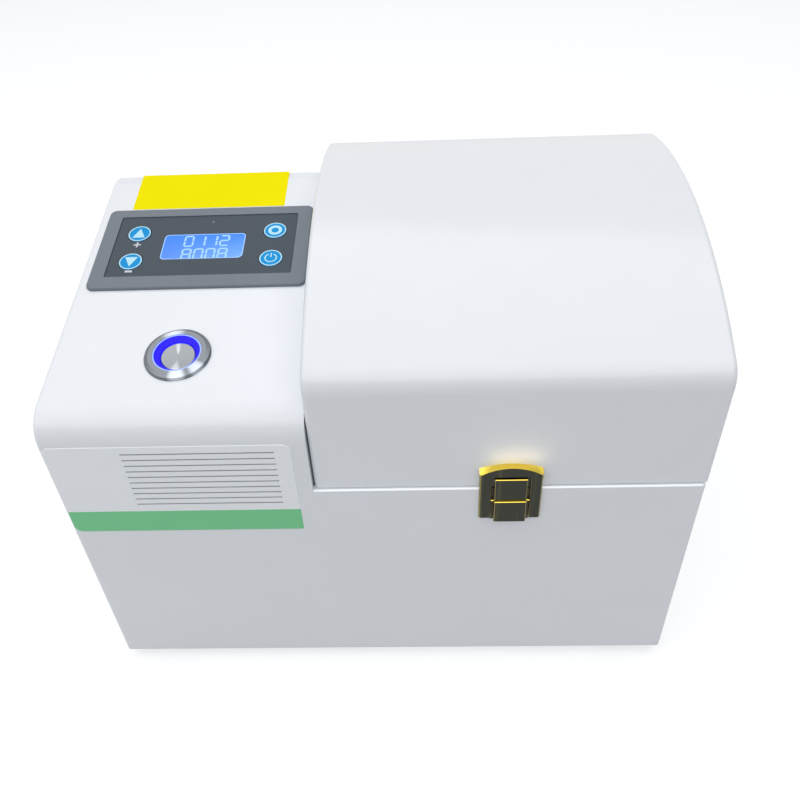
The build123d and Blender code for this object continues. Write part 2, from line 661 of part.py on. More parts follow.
def make_guide_post():
    """The fixed post that keeps the carrier from turning."""
    radius = POST_RADIUS - SLEEVE_WALL
    top = CENTRE_Z + 4
    flange = PLATE_TOP_Z + 2
    outline = [
        (0, PLATE_TOP_Z),
        (POST_FLANGE, PLATE_TOP_Z),
        (POST_FLANGE, flange),
        (radius, flange),
        (radius, top),
        (0, top),
    ]
    post = turned(outline)
    return about_rotor(post, POST_ANGLE, POST_CIRCLE)


def make_guide_sleeve():
    """The rubber sleeve on the guide post, where the carrier's notch embraces it."""
    sleeve = tube(POST_RADIUS, POST_RADIUS - SLEEVE_WALL, CENTRE_Z - 22, CENTRE_Z + 3)
    return about_rotor(sleeve, POST_ANGLE, POST_CIRCLE)


def make_motor_shaft():
    """The motor's shaft, with a flat for the hub's set screw."""
    shaft = rod(SHAFT_RADIUS, SHAFT_BOTTOM_Z, SHAFT_TOP_Z)
    shaft -= Pos(SHAFT_RADIUS + 1.5, 0, SET_SCREW_Z) * Box(4, 20, 12)
    return about_rotor(shaft)


def make_drive_hub():
    """The hub: upright below, with a journal above that leans by the tilt."""
    upright = turned(
        [
            (0, HUB_BOTTOM_Z),
            (HUB_RADIUS - 1, HUB_BOTTOM_Z),
            (HUB_RADIUS, HUB_BOTTOM_Z + 1),
            (HUB_RADIUS, HUB_UPRIGHT_Z - 2),
            (HUB_RADIUS - 2, HUB_UPRIGHT_Z),
            (0, HUB_UPRIGHT_Z),
        ]
    )
    hub = about_rotor(upright)
    hub += on_carrier(rod(HUB_NECK, -18, -BEARING_HALF))
    hub += on_carrier(rod(JOURNAL_RADIUS, -BEARING_HALF, BEARING_HALF))
    hub += on_carrier(rod(STUD_RADIUS, BEARING_HALF, BEARING_HALF + 9))
    hub -= about_rotor(rod(SHAFT_RADIUS, HUB_BOTTOM_Z - 1, SHAFT_TOP_Z))
    hub -= about_rotor(Pos(9, 0, SET_SCREW_Z) * cross_rod(SET_SCREW_RADIUS, 12))
    return hub


def make_set_screw():
    """The hub's set screw, tight on the shaft's flat."""
    screw = cross_rod(SET_SCREW_RADIUS, 10) - Pos(4, 0, 0) * cross_rod(SET_SCREW_RADIUS / 2, 4)
    return about_rotor(Pos(8.5, 0, SET_SCREW_Z) * screw)


def make_counterweight():
    """The half ring clamped on the hub that balances the tilted rotor."""
    low, high = COUNTERWEIGHT_Z
    ring = tube(COUNTERWEIGHT_RADIUS, HUB_RADIUS, low, high) - block(1, 40, -40, 40, low - 4, high + 4)
    for angle in (120, 180, 240):
        ring -= Rot(0, 0, angle) * Pos(22, 0, low) * Cylinder(2.6, 30)
    return about_rotor(ring)


def make_inner_rings():
    """The inner rings of both bearings, grooved for the balls."""
    half = BEARING_HALF
    outline = [
        (JOURNAL_RADIUS, 0),
        (INNER_RING_RADIUS, 0),
        (INNER_RING_RADIUS, half / 3),
        (INNER_RING_RADIUS - 0.6, half / 2),
        (INNER_RING_RADIUS, half * 2 / 3),
        (INNER_RING_RADIUS, half),
        (JOURNAL_RADIUS, half),
    ]
    ring = turned(outline)
    return [on_carrier(Pos(0, 0, z) * ring) for z in (-half, 0)]


def make_outer_rings():
    """The outer rings of both bearings with their shields."""
    half, shield = BEARING_HALF, BEARING_SHIELD
    inner = INNER_RING_RADIUS + CLEAR
    race = BEARING_RADIUS - 2
    ring = turned(
        [
            (BEARING_RADIUS, 0),
            (BEARING_RADIUS, half),
            (inner, half),
            (inner, half - shield),
            (race - 0.6, half - shield),
            (race, half / 2),
            (race - 0.6, shield),
            (inner, shield),
            (inner, 0),
        ]
    )
    return [on_carrier(Pos(0, 0, z) * ring) for z in (-half, 0)]


def make_hub_nut():
    """The nut and washer that hold the bearings on the journal."""
    seat = BEARING_HALF + 1.2
    nut = Pos(0, 0, seat) * extrude(RegularPolygon(9.8, 6), 6)
    washer = rod(9.6, BEARING_HALF, seat)
    return on_carrier(nut + washer - rod(STUD_RADIUS, 0, 40))


def make_tube_carrier():
    """The disc that holds the tubes, bored for the bearings and notched for the guide post."""
    lip = BEARING_RADIUS - 1.8
    body = turned(
        [
            (lip, BOSS_BOTTOM),
            (BOSS_RADIUS - 1.5, BOSS_BOTTOM),
            (BOSS_RADIUS, BOSS_BOTTOM + 1.5),
            (BOSS_RADIUS, CARRIER_BOTTOM),
            (CARRIER_RADIUS - 1, CARRIER_BOTTOM),
            (CARRIER_RADIUS, CARRIER_BOTTOM + 1),
            (CARRIER_RADIUS, CARRIER_TOP - 1),
            (CARRIER_RADIUS - 1, CARRIER_TOP),
            (BOSS_RADIUS, CARRIER_TOP),
            (BOSS_RADIUS, BOSS_TOP),
            (BEARING_RADIUS, BOSS_TOP),
            (BEARING_RADIUS, -BEARING_HALF),
            (lip, -BEARING_HALF),
        ]
    )
    for i in range(SEAT_COUNT):
        body -= Rot(0, 0, i * 360 / SEAT_COUNT) * Pos(SEAT_CIRCLE, 0, 0) * Cylinder(SEAT_RADIUS, 40)
    notch_half = POST_RADIUS + 1.2
    notch = Pos(0, 0, -20) * extrude(SlotOverall(20, 2 * notch_half), 40)
    body -= Rot(0, 0, POST_ANGLE) * Pos(POST_CIRCLE + 10 - notch_half, 0, 0) * notch
    hole = Pos(SCREW_CIRCLE, 0, BOSS_TOP) * Cylinder(SCREW_RADIUS + RUNNING, 2 * (SCREW_DEPTH + 2))
    for i in range(SCREW_COUNT):
        body -= Rot(0, 0, SCREW_START + i * 360 / SCREW_COUNT) * hole
    return CARRIER_FRAME * body


def make_baffle():
    """The plate over the tube caps. Turned to its stop, its holes come over the tubes."""
    plate = tube(BAFFLE_RADIUS, 13.5, BOSS_TOP, BOSS_TOP + BAFFLE_THICK)
    for i in range(SEAT_COUNT):
        angle = BAFFLE_TURN + i * 360 / SEAT_COUNT
        plate -= Rot(0, 0, angle) * Pos(SEAT_CIRCLE, 0, BOSS_TOP) * Cylinder(BAFFLE_HOLE, 20)
    for i in range(SCREW_COUNT):
        start = SCREW_START + i * 360 / SCREW_COUNT - BAFFLE_TURN
        arc = CenterArc((0, 0), SCREW_CIRCLE, start, BAFFLE_TURN)
        plate -= Pos(0, 0, BOSS_TOP - 5) * extrude(SlotArc(arc, 2 * (SCREW_RADIUS + CLEAR)), 15)
    return CARRIER_FRAME * plate


def make_fastening_screw(index):
    """A fluted knob with a threaded shank."""
    low = BOSS_TOP + BAFFLE_THICK + WASHER_THICK
    high = low + KNOB_HEIGHT
    outline = Circle(KNOB_RADIUS)
    for i in range(8):
        outline -= Rot(0, 0, i * 45) * Pos(KNOB_RADIUS + 0.8, 0) * Circle(1.7)
    knob = Pos(0, 0, low + 1.5) * extrude(outline, KNOB_HEIGHT - 1.5)
    knob += rod(KNOB_RADIUS - 1.3, low, low + 1.5)
    knob -= rod(3.5, high - 1, high + 1)
    shank = rod(SCREW_RADIUS, BOSS_TOP - SCREW_DEPTH, low)
    return on_carrier(knob + shank, SCREW_START + index * 360 / SCREW_COUNT, SCREW_CIRCLE)


def make_screw_washer(index):
    """The captive washer under a knob."""
    low = BOSS_TOP + BAFFLE_THICK
    ring = tube(WASHER_RADIUS, SCREW_RADIUS + RUNNING, low, low + WASHER_THICK)
    return on_carrier(ring, SCREW_START + index * 360 / SCREW_COUNT, SCREW_CIRCLE)


def make_control_bezel():
    """The controller's frame: a raised rim round the overlay, chamfered outside."""
    rim = round_plate(CONTROL_WIDTH, CONTROL_DEPTH, 3, 0, CONTROL_PROUD)
    rim = fillet(rim.edges().group_by(Axis.Z)[-1], 0.9)
    shift = OVERLAY_V - CONTROL_V
    rim -= Pos(0, shift, 0) * round_plate(OVERLAY_WIDTH, OVERLAY_DEPTH, 0.8, OVERLAY_BOTTOM, 9)
    rim -= Pos(0, shift, 0) * round_plate(OVERLAY_WIDTH - 6, OVERLAY_DEPTH - 4, 1, -1, 9)
    return on_slope(rim, CONTROL_X, CONTROL_V)


def make_control_overlay():
    """The keypad sheet, with a window for the display and a round hole for each key."""
    sheet = round_plate(OVERLAY_WIDTH - 0.4, OVERLAY_DEPTH - 0.4, 0.6, OVERLAY_BOTTOM, OVERLAY_TOP)
    sheet = Pos(CONTROL_X, OVERLAY_V, 0) * sheet
    sheet -= Pos(DISPLAY_X, DISPLAY_V, 0) * round_plate(DISPLAY_WIDTH, DISPLAY_DEPTH, 2, 0, 5)
    for x, v in KEY_PLACES.values():
        sheet -= Pos(x, v, 0) * Cylinder(KEY_RADIUS + CLEAR, 10)
    return SLOPE_FRAME * sheet


def make_display_lens():
    """The clear window over the display."""
    lens = round_plate(DISPLAY_WIDTH, DISPLAY_DEPTH, 2, OVERLAY_BOTTOM, OVERLAY_TOP - 0.1)
    return on_slope(lens, DISPLAY_X, DISPLAY_V)


def make_display_module():
    """The liquid crystal display behind the window."""
    return on_slope(round_plate(40, 21, 0.8, BOARD_TOP, OVERLAY_BOTTOM), DISPLAY_X, DISPLAY_V)


def make_key(place):
    """A round key pad with a stem to its switch."""
    pad = rod(KEY_RADIUS, OVERLAY_BOTTOM, KEY_TOP)
    pad = fillet(pad.edges().sort_by(Axis.Z)[-1], 0.15)
    stem = rod(STEM_RADIUS, -0.4, OVERLAY_BOTTOM)
    return on_slope(pad + stem, *place)


def make_tact_switches():
    """The four switches under the keys, on the circuit board."""
    height = 3.5
    top = BOARD_TOP + height
    switch = Pos(0, 0, top - height / 2) * Box(SWITCH_SIZE, SWITCH_SIZE, height)
    switch += rod(STEM_RADIUS + 0.4, top, top + 0.3)
    return [on_slope(switch, *place) for place in KEY_PLACES.values()]


def make_control_board():
    """The controller's circuit board."""
    return on_slope(round_plate(71, 33, 2, BOARD_TOP - BOARD_THICK, BOARD_TOP), CONTROL_X, OVERLAY_V)


def make_control_case():
    """The controller's case behind the panel."""
    width, depth, height = MODULE_CASE
    side, end, back = MODULE_WALL
    case = round_plate(width, depth, 2, -height, 0)
    case -= round_plate(width - 2 * side, depth - 2 * end, 1, back - height, 1)
    return on_slope(case, CONTROL_X, CONTROL_V + 0.7)


def make_button_body():
    """The start button's steel head and threaded barrel."""
    inner = BUTTON_RING
    body = turned(
        [
            (inner, BUTTON_TOP),
            (BUTTON_HEAD - 1.6, BUTTON_TOP),
            (BUTTON_HEAD - 0.4, 1.3),
            (BUTTON_HEAD, 0.5),
            (BUTTON_HEAD, 0),
            (BUTTON_BARREL, 0),
            (BUTTON_BARREL, -BUTTON_DEPTH),
            (inner, -BUTTON_DEPTH),
        ]
    )
    return on_slope(body, BUTTON_X, BUTTON_V)


def make_button_ring():
    """The light ring between head and cap, a funnel that leads down to the sunk cap."""
    inner = BUTTON_CAP + CLEAR
    foot = BUTTON_TOP - BUTTON_SINK
    lip = BUTTON_TOP - 0.2
    ring = turned([(inner, -8), (BUTTON_RING, -8), (BUTTON_RING, lip), (BUTTON_RING - 0.3, lip), (inner, foot)])
    return on_slope(ring, BUTTON_X, BUTTON_V)


def make_button_cap():
    """The cap that the finger presses, sunk in the ring and dished a little."""
    top = BUTTON_TOP - BUTTON_SINK
    low = -6
    outline = [
        (0, low),
        (BUTTON_CAP, low),
        (BUTTON_CAP, top - 0.3),
        (BUTTON_CAP - 0.4, top),
        (3, top - 0.2),
        (0, top - 0.25),
    ]
    return on_slope(turned(outline) + rod(2.4, -15, low), BUTTON_X, BUTTON_V)


def make_button_nut():
    """The thin hexagon nut that clamps the button in the panel."""
    nut = Pos(0, 0, -WALL - BUTTON_NUT) * extrude(RegularPolygon(15.4, 6), BUTTON_NUT)
    return on_slope(nut - rod(BUTTON_BARREL, -20, 1), BUTTON_X, BUTTON_V)


def make_button_switch():
    """The switch block behind the button, with its blade terminals."""
    switch = rod(BUTTON_RING, -30, -17.5)
    for x in (-5, 0, 5):
        switch += Pos(x, 0, -34) * Box(0.8, 2.8, 8)
    return on_slope(switch, BUTTON_X, BUTTON_V)


def make_mains_inlet():
    """The three-pin mains inlet with its flange outside the rear wall."""
    body = Pos(0, -INLET_BODY[1] / 2, 0) * Box(*INLET_BODY)
    outline = SlotOverall(50, 24)
    for side in (-1, 1):
        outline -= Pos(side * 20, 0) * Circle(1.75)
    flange = Pos(0, INLET_FLANGE, 0) * extrude(Plane.XZ * outline, INLET_FLANGE)
    cavity = extrude(Plane.XZ * RectangleRounded(*INLET_CAVITY, 2), -20)
    cavity = Pos(0, -INLET_CAVITY_DEPTH, 0) * cavity
    inlet = Pos(INLET_X, BACK, INLET_Z) * (body + flange - cavity)
    for blade in make_inlet_pins():
        inlet -= blade
    return inlet


def make_inlet_pins():
    """The inlet's three blades, with the tabs behind them."""
    blade = Pos(0, -14, 0) * Box(*BLADE)
    return [Pos(INLET_X + x, BACK, INLET_Z + z) * blade for x, z in ((-7, -1), (7, -1), (0, 3))]


def make_power_supply():
    """The enclosed power supply on the base, under the controller."""
    height = SUPPLY_SIZE[2]
    case = Pos(0, 0, BASE_TOP_Z + height / 2) * Box(*SUPPLY_SIZE)
    case = fillet(case.edges().filter_by(Axis.Y), 1.5)
    for i in range(SUPPLY_SLOTS):
        y = SUPPLY_SLOT_PITCH * (i - (SUPPLY_SLOTS - 1) / 2)
        case -= Pos(0, y, BASE_TOP_Z + height) * Box(52, 4, 5)
    return Pos(*SUPPLY_PLACE, 0) * case


def make_motor_driver():
    """The motor's driver board on the partition, with its heat sink."""
    thick, length, height = DRIVER_BOARD
    sink_length, sink_height = DRIVER_SINK
    wall = SECTION_RIGHT - WALL
    middle_z = DRIVER_LOW_Z + height / 2
    board_x = wall - DRIVER_STANDOFF - thick
    fins_x = board_x - DRIVER_SINK_BASE
    driver = block(board_x, board_x + thick, -length / 2, length / 2, DRIVER_LOW_Z, DRIVER_LOW_Z + height)
    standoff = cross_rod(3, DRIVER_STANDOFF)
    for sy in (-1, 1):
        for sz in (-1, 1):
            place = (wall - DRIVER_STANDOFF / 2, sy * (length / 2 - 4), middle_z + sz * (height / 2 - 4))
            driver += Pos(*place) * standoff
    driver += Pos(board_x - DRIVER_SINK_BASE / 2, 0, middle_z) * Box(DRIVER_SINK_BASE, sink_length, sink_height)
    fin = Box(DRIVER_FIN_LENGTH, DRIVER_FIN_THICK, sink_height)
    pitch = (sink_length - 3) / (DRIVER_FINS - 1)
    for i in range(DRIVER_FINS):
        y = pitch * (i - (DRIVER_FINS - 1) / 2)
        driver += Pos(fins_x - DRIVER_FIN_LENGTH / 2, y, middle_z) * fin
    return driver


def arched(half, corner_z, crown_z, bottom_z):
    """An upright outline with an arched top, facing the front."""
    top = ThreePointArc((-half, corner_z), (0, crown_z), (half, corner_z))
    rest = Polyline((half, corner_z), (half, bottom_z), (-half, bottom_z), (-half, corner_z))
    return Plane.XZ * make_face(top.edges() + rest.edges())


def make_latch_hasp():
    """The latch's frame on the lid: an arched brow that leans forward, and two legs that pass the seam."""
    back = Pos(0, LID_FRONT, 0) * arched(LATCH_HALF, LATCH_BACK_CORNER_Z, LATCH_CROWN_Z, LATCH_LEG_Z)
    front = Pos(0, LATCH_FACE_Y, 0) * arched(LATCH_HALF, LATCH_FRONT_CORNER_Z, LATCH_CROWN_Z, LATCH_LEG_Z)
    hasp = loft([back, front], ruled=True)
    uprights = hasp.edges().filter_by(Axis.Z)
    hasp = fillet([e for e in uprights if e.center().Y < LATCH_FACE_Y + 0.1], LATCH_EDGE_ROUND)
    low, seam = LATCH_LEG_Z - 1, SEAM_Z + LID_GAP
    before, behind = FRONT - 9, LID_FRONT + 1
    gate, window = LATCH_GATE, LEVER_HALF + CLEAR
    hasp -= block(-LATCH_HALF - 1, LATCH_HALF + 1, FRONT - 0.2, behind, low, seam)
    hasp -= block(-gate, gate, before, behind, low, seam)
    hasp -= block(-gate, gate, before, LID_FRONT - LATCH_SHEET, seam - 1, LEVER_TOP_Z + LEVER_ROOM)
    hasp -= block(-window, window, before, behind, seam - 1, LEVER_TOP_Z + CLEAR)
    inner_edges = [
        e
        for e in hasp.edges().filter_by(Axis.Z)
        if abs(e.center().Y - LATCH_FACE_Y) < 0.01 and abs(abs(e.center().X) - LATCH_GATE) < 0.01
    ]
    hasp = fillet(inner_edges, LATCH_EDGE_ROUND / 2)
    hasp -= Pos(0, LATCH_PIN_Y, LATCH_PIN_Z) * cross_rod(LATCH_PIN_RADIUS, 2 * LATCH_HALF - 3)
    return Pos(LATCH_X, 0, 0) * hasp


def make_latch_pin():
    """The pin across the legs that the lever swings on."""
    return Pos(LATCH_X, LATCH_PIN_Y, LATCH_PIN_Z) * cross_rod(LATCH_PIN_RADIUS, 2 * LATCH_HALF - 3)


def lever_roll(face_y, back_y, bottom_z, top_z):
    """A bar across the lever with rounded ends and a soft front edge."""
    bar = block(-LEVER_HALF, LEVER_HALF, face_y, back_y, bottom_z, top_z)
    at_face = [e for e in bar.edges() if abs(e.center().Y - face_y) < 0.01]
    sides = [e for e in at_face if abs(e.center().X) > LEVER_HALF - 0.01]
    bar = fillet(sides, LEVER_SIDE_ROUND)
    level = [e for e in bar.edges().filter_by(Axis.X) if abs(e.center().Y - face_y) < 0.01]
    return fillet(level, LEVER_EDGE_ROUND)


def make_latch_lever():
    """The thumb lever: a roll above the step, a prouder one below, the pin's eye, and a hook at its foot."""
    lever = lever_roll(LEVER_UPPER_Y, LEVER_UPPER_BACK_Y, LEVER_SHOULDER_Z, LEVER_TOP_Z)
    lever += lever_roll(LEVER_UPPER_Y, LEVER_LOWER_BACK_Y, LEVER_STEP_Z - 0.6, LEVER_SHOULDER_Z + 1)
    lever += lever_roll(LEVER_LOWER_Y, LEVER_LOWER_BACK_Y, LEVER_BOTTOM_Z, LEVER_STEP_Z)
    lever += Pos(0, LATCH_PIN_Y, LATCH_PIN_Z) * cross_rod(LEVER_EYE, 2 * LEVER_HALF - 0.4)
    web_half = LEVER_HALF - 0.2
    web_low, web_high = LATCH_PIN_Z - LEVER_EYE, LATCH_PIN_Z + LEVER_EYE
    lever += block(-web_half, web_half, LEVER_LOWER_BACK_Y - 0.2, LATCH_PIN_Y, web_low, web_high)
    lever += block(-4, 4, LEVER_LOWER_BACK_Y - 0.2, STRIKE_LIP_Y - CLEAR, LEVER_BOTTOM_Z + 0.4, HOOK_TOP_Z)
    lever -= Pos(0, LATCH_PIN_Y, LATCH_PIN_Z) * cross_rod(LATCH_PIN_RADIUS + RUNNING, 40)
    return Pos(LATCH_X, 0, 0) * lever


def make_latch_strike():
    """The strike on the housing, with the lip that the lever's hook goes under."""
    plate = block(-LEVER_HALF, LEVER_HALF, FRONT - STRIKE_SHEET, FRONT, LATCH_LEG_Z, HOOK_TOP_Z + 6)
    lip = block(-5, 5, STRIKE_LIP_Y, FRONT, HOOK_TOP_Z + 0.6, HOOK_TOP_Z + 1.6)
    return Pos(LATCH_X, 0, 0) * (plate + lip)


def make_sensor():
    """The lid sensor on the ledge's underside, beside the partition."""
    return block(CHAMBER_LEFT, CHAMBER_LEFT + 4.5, -50, -30, LEDGE_TOP_Z - 11, LEDGE_TOP_Z - LEDGE_THICK)


def make_magnet():
    """The magnet that works the lid sensor, glued inside the lid's left wall."""
    x0 = LID_LEFT + WALL
    return block(x0, x0 + 3, -46, -34, SEAM_Z + 2, SEAM_Z + 10)


PARTS = {
    "housing": make_housing,
    "base_plate": make_base_plate,
    "feet": make_feet,
    "bottom_screws": make_bottom_screws,
    "chamber_tray": make_tray,
    "tray_screws": make_tray_screws,
    "lid": make_lid,
    "lid_bumpers": make_lid_bumpers,
    "hinge_base_leaves": make_hinge_base_leaves,
    "hinge_lid_leaves": make_hinge_lid_leaves,
    "hinge_pins": make_hinge_pins,
    "latch_hasp": make_latch_hasp,
    "latch_pin": make_latch_pin,
    "latch_lever": make_latch_lever,
    "latch_strike": make_latch_strike,
    "control_bezel": make_control_bezel,
    "control_overlay": make_control_overlay,
    "display_lens": make_display_lens,
    "display_module": make_display_module,
    "tact_switches": make_tact_switches,
    "control_board": make_control_board,
    "control_case": make_control_case,
    "start_button_body": make_button_body,
    "start_button_ring": make_button_ring,
    "start_button_cap": make_button_cap,
    "start_button_nut": make_button_nut,
    "start_button_switch": make_button_switch,
    "mains_inlet": make_mains_inlet,
    "inlet_pins": make_inlet_pins,
    "power_supply": make_power_supply,
    "motor_driver": make_motor_driver,
    "lid_sensor": make_sensor,
    "lid_magnet": make_magnet,
    "mount_posts": make_mount_posts,
    "rubber_mounts": make_rubber_mounts,
    "drive_plate": make_drive_plate,
    "motor_case": make_motor_case,
    "motor_screws": make_motor_screws,
    "transit_sleeves": make_transit_sleeves,
    "guide_post": make_guide_post,
    "guide_sleeve": make_guide_sleeve,
    "motor_shaft": make_motor_shaft,
    "drive_hub": make_drive_hub,
    "set_screw": make_set_screw,
    "counterweight": make_counterweight,
    "bearing_inner_rings": make_inner_rings,
    "bearing_outer_rings": make_outer_rings,
    "hub_nut": make_hub_nut,
    "tube_carrier": make_tube_carrier,
    "baffle_plate": make_baffle,
}


def write(name, shape):
    """Moves one node so that the whole machine is centred, and writes its solids as a group."""
    parts = shape if isinstance(shape, list) else [shape]
    solids = [Pos(0, -MIDDLE_Y, 0) * s for part in parts for s in part.solids()]
    export_step(Compound(children=solids), f"parts/{name}.step")


os.makedirs("parts", exist_ok=True)
for name, make in PARTS.items():
    write(name, make())
for name, place in KEY_PLACES.items():
    write(name, make_key(place))
for index in range(SCREW_COUNT):
    write(f"fastening_screw_{index + 1}", make_fastening_screw(index))
    write(f"screw_washer_{index + 1}", make_screw_washer(index))
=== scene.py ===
"""Looks of a bench bead mill homogenizer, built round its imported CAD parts."""
import bpy
import bmesh
import json
import math
from mathutils import Matrix, Vector


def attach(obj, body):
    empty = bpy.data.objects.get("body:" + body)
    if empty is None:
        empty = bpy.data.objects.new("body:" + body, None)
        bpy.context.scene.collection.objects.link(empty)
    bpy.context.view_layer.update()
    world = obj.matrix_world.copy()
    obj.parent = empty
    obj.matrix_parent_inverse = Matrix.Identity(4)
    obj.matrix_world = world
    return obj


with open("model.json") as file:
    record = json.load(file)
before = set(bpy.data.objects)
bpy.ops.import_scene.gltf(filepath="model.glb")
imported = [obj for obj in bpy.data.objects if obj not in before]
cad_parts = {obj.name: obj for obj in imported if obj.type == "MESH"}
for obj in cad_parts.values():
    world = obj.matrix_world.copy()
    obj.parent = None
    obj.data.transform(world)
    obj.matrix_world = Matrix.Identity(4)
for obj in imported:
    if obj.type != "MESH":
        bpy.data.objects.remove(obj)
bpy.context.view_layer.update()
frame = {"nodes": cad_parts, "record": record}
MM = 0.001

# Camera, solved from the edges of the housing: place in metres, rotation vector in radians
CAMERA_PLACE = Vector((0.019682, -0.284594, 0.334296))
CAMERA_TURN = Vector((2.2866, -0.0019, -0.0521))
LENS_MM = 37.171
SENSOR_MM = 36.0

# Places on the machine, in millimetres
LEFT = -120.55
HOUSING_DEPTH = 150.0
HOUSING_MIDDLE_Y = -1.85
FRONT = HOUSING_MIDDLE_Y - HOUSING_DEPTH / 2
SLOPE = math.radians(10.65)
SLOPE_FRONT_Z = 144.5
# Two flat frames to build in: x to the right, v up the slope or up the front, and the third axis outwards
SLOPE_FRAME = Matrix.Translation((0, FRONT, SLOPE_FRONT_Z)) @ Matrix.Rotation(SLOPE, 4, "X")
FRONT_FRAME = Matrix.Translation((0, FRONT, 0)) @ Matrix.Rotation(math.radians(90), 4, "X")
SLOPE_NORMAL = Vector((0, -math.sin(SLOPE), math.cos(SLOPE)))

# Controller: its faces' heights over the slope, its keys' middles, its lamp and its display
OVERLAY_TOP = 1.2
LENS_TOP = 1.1
KEY_TOP = 1.4
KEY_PLACES = {
    "key_up": (LEFT + 19.8, 99.0),
    "key_down": (LEFT + 19.5, 82.0),
    "key_mode": (LEFT + 76.9, 99.0),
    "key_power": (LEFT + 76.8, 82.05),
}
LAMP_PLACE = (-70.6, 105.5)
DISPLAY_X = LEFT + 47.95
DISPLAY_V = 90.45
DISPLAY_WIDTH = 34.0
DISPLAY_DEPTH = 15.2
DISPLAY_CORNERS = (1.6, 2.6, 1.6, 1.6)

# Start button
BUTTON_PLACE = (-73.05, 31.6)
BUTTON_LIP = 1.6
BUTTON_GLOW = (8.98, 8.55)

# Stickers
BACK_STICKER_SIZE = (66.1, 23.8)
BACK_STICKER_PLACE = (LEFT + 45.85, 128.5)
BACK_STICKER_THICK = 0.12
BACK_STICKER_ROUND = 0.6
LABEL_LEFT, LABEL_RIGHT = -119.5, -30.1
LABEL_X = (LABEL_LEFT + LABEL_RIGHT) / 2
LABEL_WIDTH = LABEL_RIGHT - LABEL_LEFT
BAND_LOW, BAND_HIGH, LABEL_HIGH = 88.8, 100.1, 133.9
LABEL_ROUND = 3.0
BAND_RIGHT_ROUND = 0.6
LABEL_THICK = 0.25
RULE_COUNT = 10
RULE_PITCH = 2.9
RULE_THICK = 0.45
RULE_LENGTH = LABEL_WIDTH - 34
RULE_X = LABEL_X + 11
FIRST_RULE_Z = LABEL_HIGH - 3.6

# Latch, and the seam under the lid
LATCH_X = LEFT + 168.85
GAP_WIDTH = 14.6
GAP_LOW = 93.2
SEAM_Z = 109.8
LID_FRONT_DEPTH = 1.2
RIM_ROUND = 0.7
RIM_THICK = 0.1
RIM_LEFT, RIM_RIGHT = LEFT + 96.4, LEFT + 238.6

# How far a print stands out of the face that it lies on, and how far it reaches into it
PRINT_RISE = 0.03
PRINT_SINK = 0.05
THIN_PRINT_RISE = 0.02
THIN_PRINT_SINK = 0.03


# Colours and node trees
def srgb(red, green, blue):
    """A colour given as 0 to 255, in linear light with alpha."""
    def linear(value):
        value = value / 255
        return value / 12.92 if value <= 0.04045 else ((value + 0.055) / 1.055) ** 2.4
    return (linear(red), linear(green), linear(blue), 1.0)


def shaded(colour, factor):
    """A colour made darker or brighter."""
    return (colour[0] * factor, colour[1] * factor, colour[2] * factor, 1.0)


class Graph:
    """A node tree, with short ways to add its nodes. A node's input is a value or another node's output."""

    def __init__(self, tree):
        self.nodes = tree.nodes
        self.links = tree.links
        self.nodes.clear()

    def add(self, kind, inputs=None, **settings):
        node = self.nodes.new(kind)
        for name, value in settings.items():
            setattr(node, name, value)
        for socket, value in (inputs or {}).items():
            if isinstance(value, bpy.types.NodeSocket):
                self.links.new(value, node.inputs[socket])
            else:
                node.inputs[socket].default_value = value
        return node

    def end(self, shader, kind="ShaderNodeOutputMaterial"):
        """Shows a shader on the surface."""
        self.add(kind, {"Surface": shader.outputs[0]})

    def reckon(self, operation, first, second, clamped=False):
        """A value worked out from two others."""
        node = self.add("ShaderNodeMath", {0: first, 1: second}, operation=operation, use_clamp=clamped)
        return node.outputs[0]

    def vector(self, operation, *terms):
        """A node that works on vectors, with the outputs Vector and Value."""
        return self.add("ShaderNodeVectorMath", dict(enumerate(terms)), operation=operation)

    def split(self, vector):
        """A vector's three parts."""
        return self.add("ShaderNodeSeparateXYZ", {0: vector}).outputs

    def place(self, stretch=(1, 1, 1)):
        """Object coordinates, stretched."""
        coordinates = self.add("ShaderNodeTexCoord").outputs["Object"]
        return self.add("ShaderNodeMapping", {"Vector": coordinates, "Scale": stretch}).outputs["Vector"]

    def noise(self, scale, detail=2.0, stretch=(1, 1, 1)):
        """A noise over the object, mostly from 0.3 to 0.7."""
        inputs = {"Vector": self.place(stretch), "Scale": scale, "Detail": detail}
        return self.add("ShaderNodeTexNoise", inputs).outputs["Fac"]

    def ramp(self, source, start, end, low=0.0, high=1.0, smooth=False):
        """A value that runs from low to high while the source runs from start to end."""
        inputs = {"Value": source, "From Min": start, "From Max": end, "To Min": low, "To Max": high}
        kind = "SMOOTHSTEP" if smooth else "LINEAR"
        return self.add("ShaderNodeMapRange", inputs, interpolation_type=kind).outputs["Result"]

    def spread(self, noise, low, high):
        """A noise, spread over low to high."""
        return self.ramp(noise, 0.3, 0.7, low, high)

    def blend(self, factor, first, second):
        """A colour between two. The numbers are a Mix node's sockets for colours."""
        return self.add("ShaderNodeMix", {0: factor, 6: first, 7: second}, data_type="RGBA").outputs[2]


def new_material(name):
    """A material, and the graph of its nodes."""
    material = bpy.data.materials.new(name)
    material.use_nodes = True
    return material, Graph(material.node_tree)


# Materials
MOTTLE_SCALE = 38.0
MOTTLE_DETAIL = 3.0
GRAIN_HEIGHT = 0.0002
COAT_ROUGHNESS = 0.12
# Turned steel: where a painted highlight fan fades out and where it is full, in half widths, and its fine
# rings' scale
FAN_EDGE = 1.6
FAN_HEART = 0.4
LATHE_RING_SCALE = 9000.0
# Gold plating with painted reflections: how far a face looks forward or up where its painted tone changes,
# and the painted streaks of the mirrored room
GOLD_FORWARD = (-0.80, -0.99)
GOLD_UPWARD = (0.12, 0.5)
GOLD_REFLECTION_STREAK_SCALE = 60.0
GOLD_REFLECTION_STREAK_STRETCH = (9, 1, 0.2)


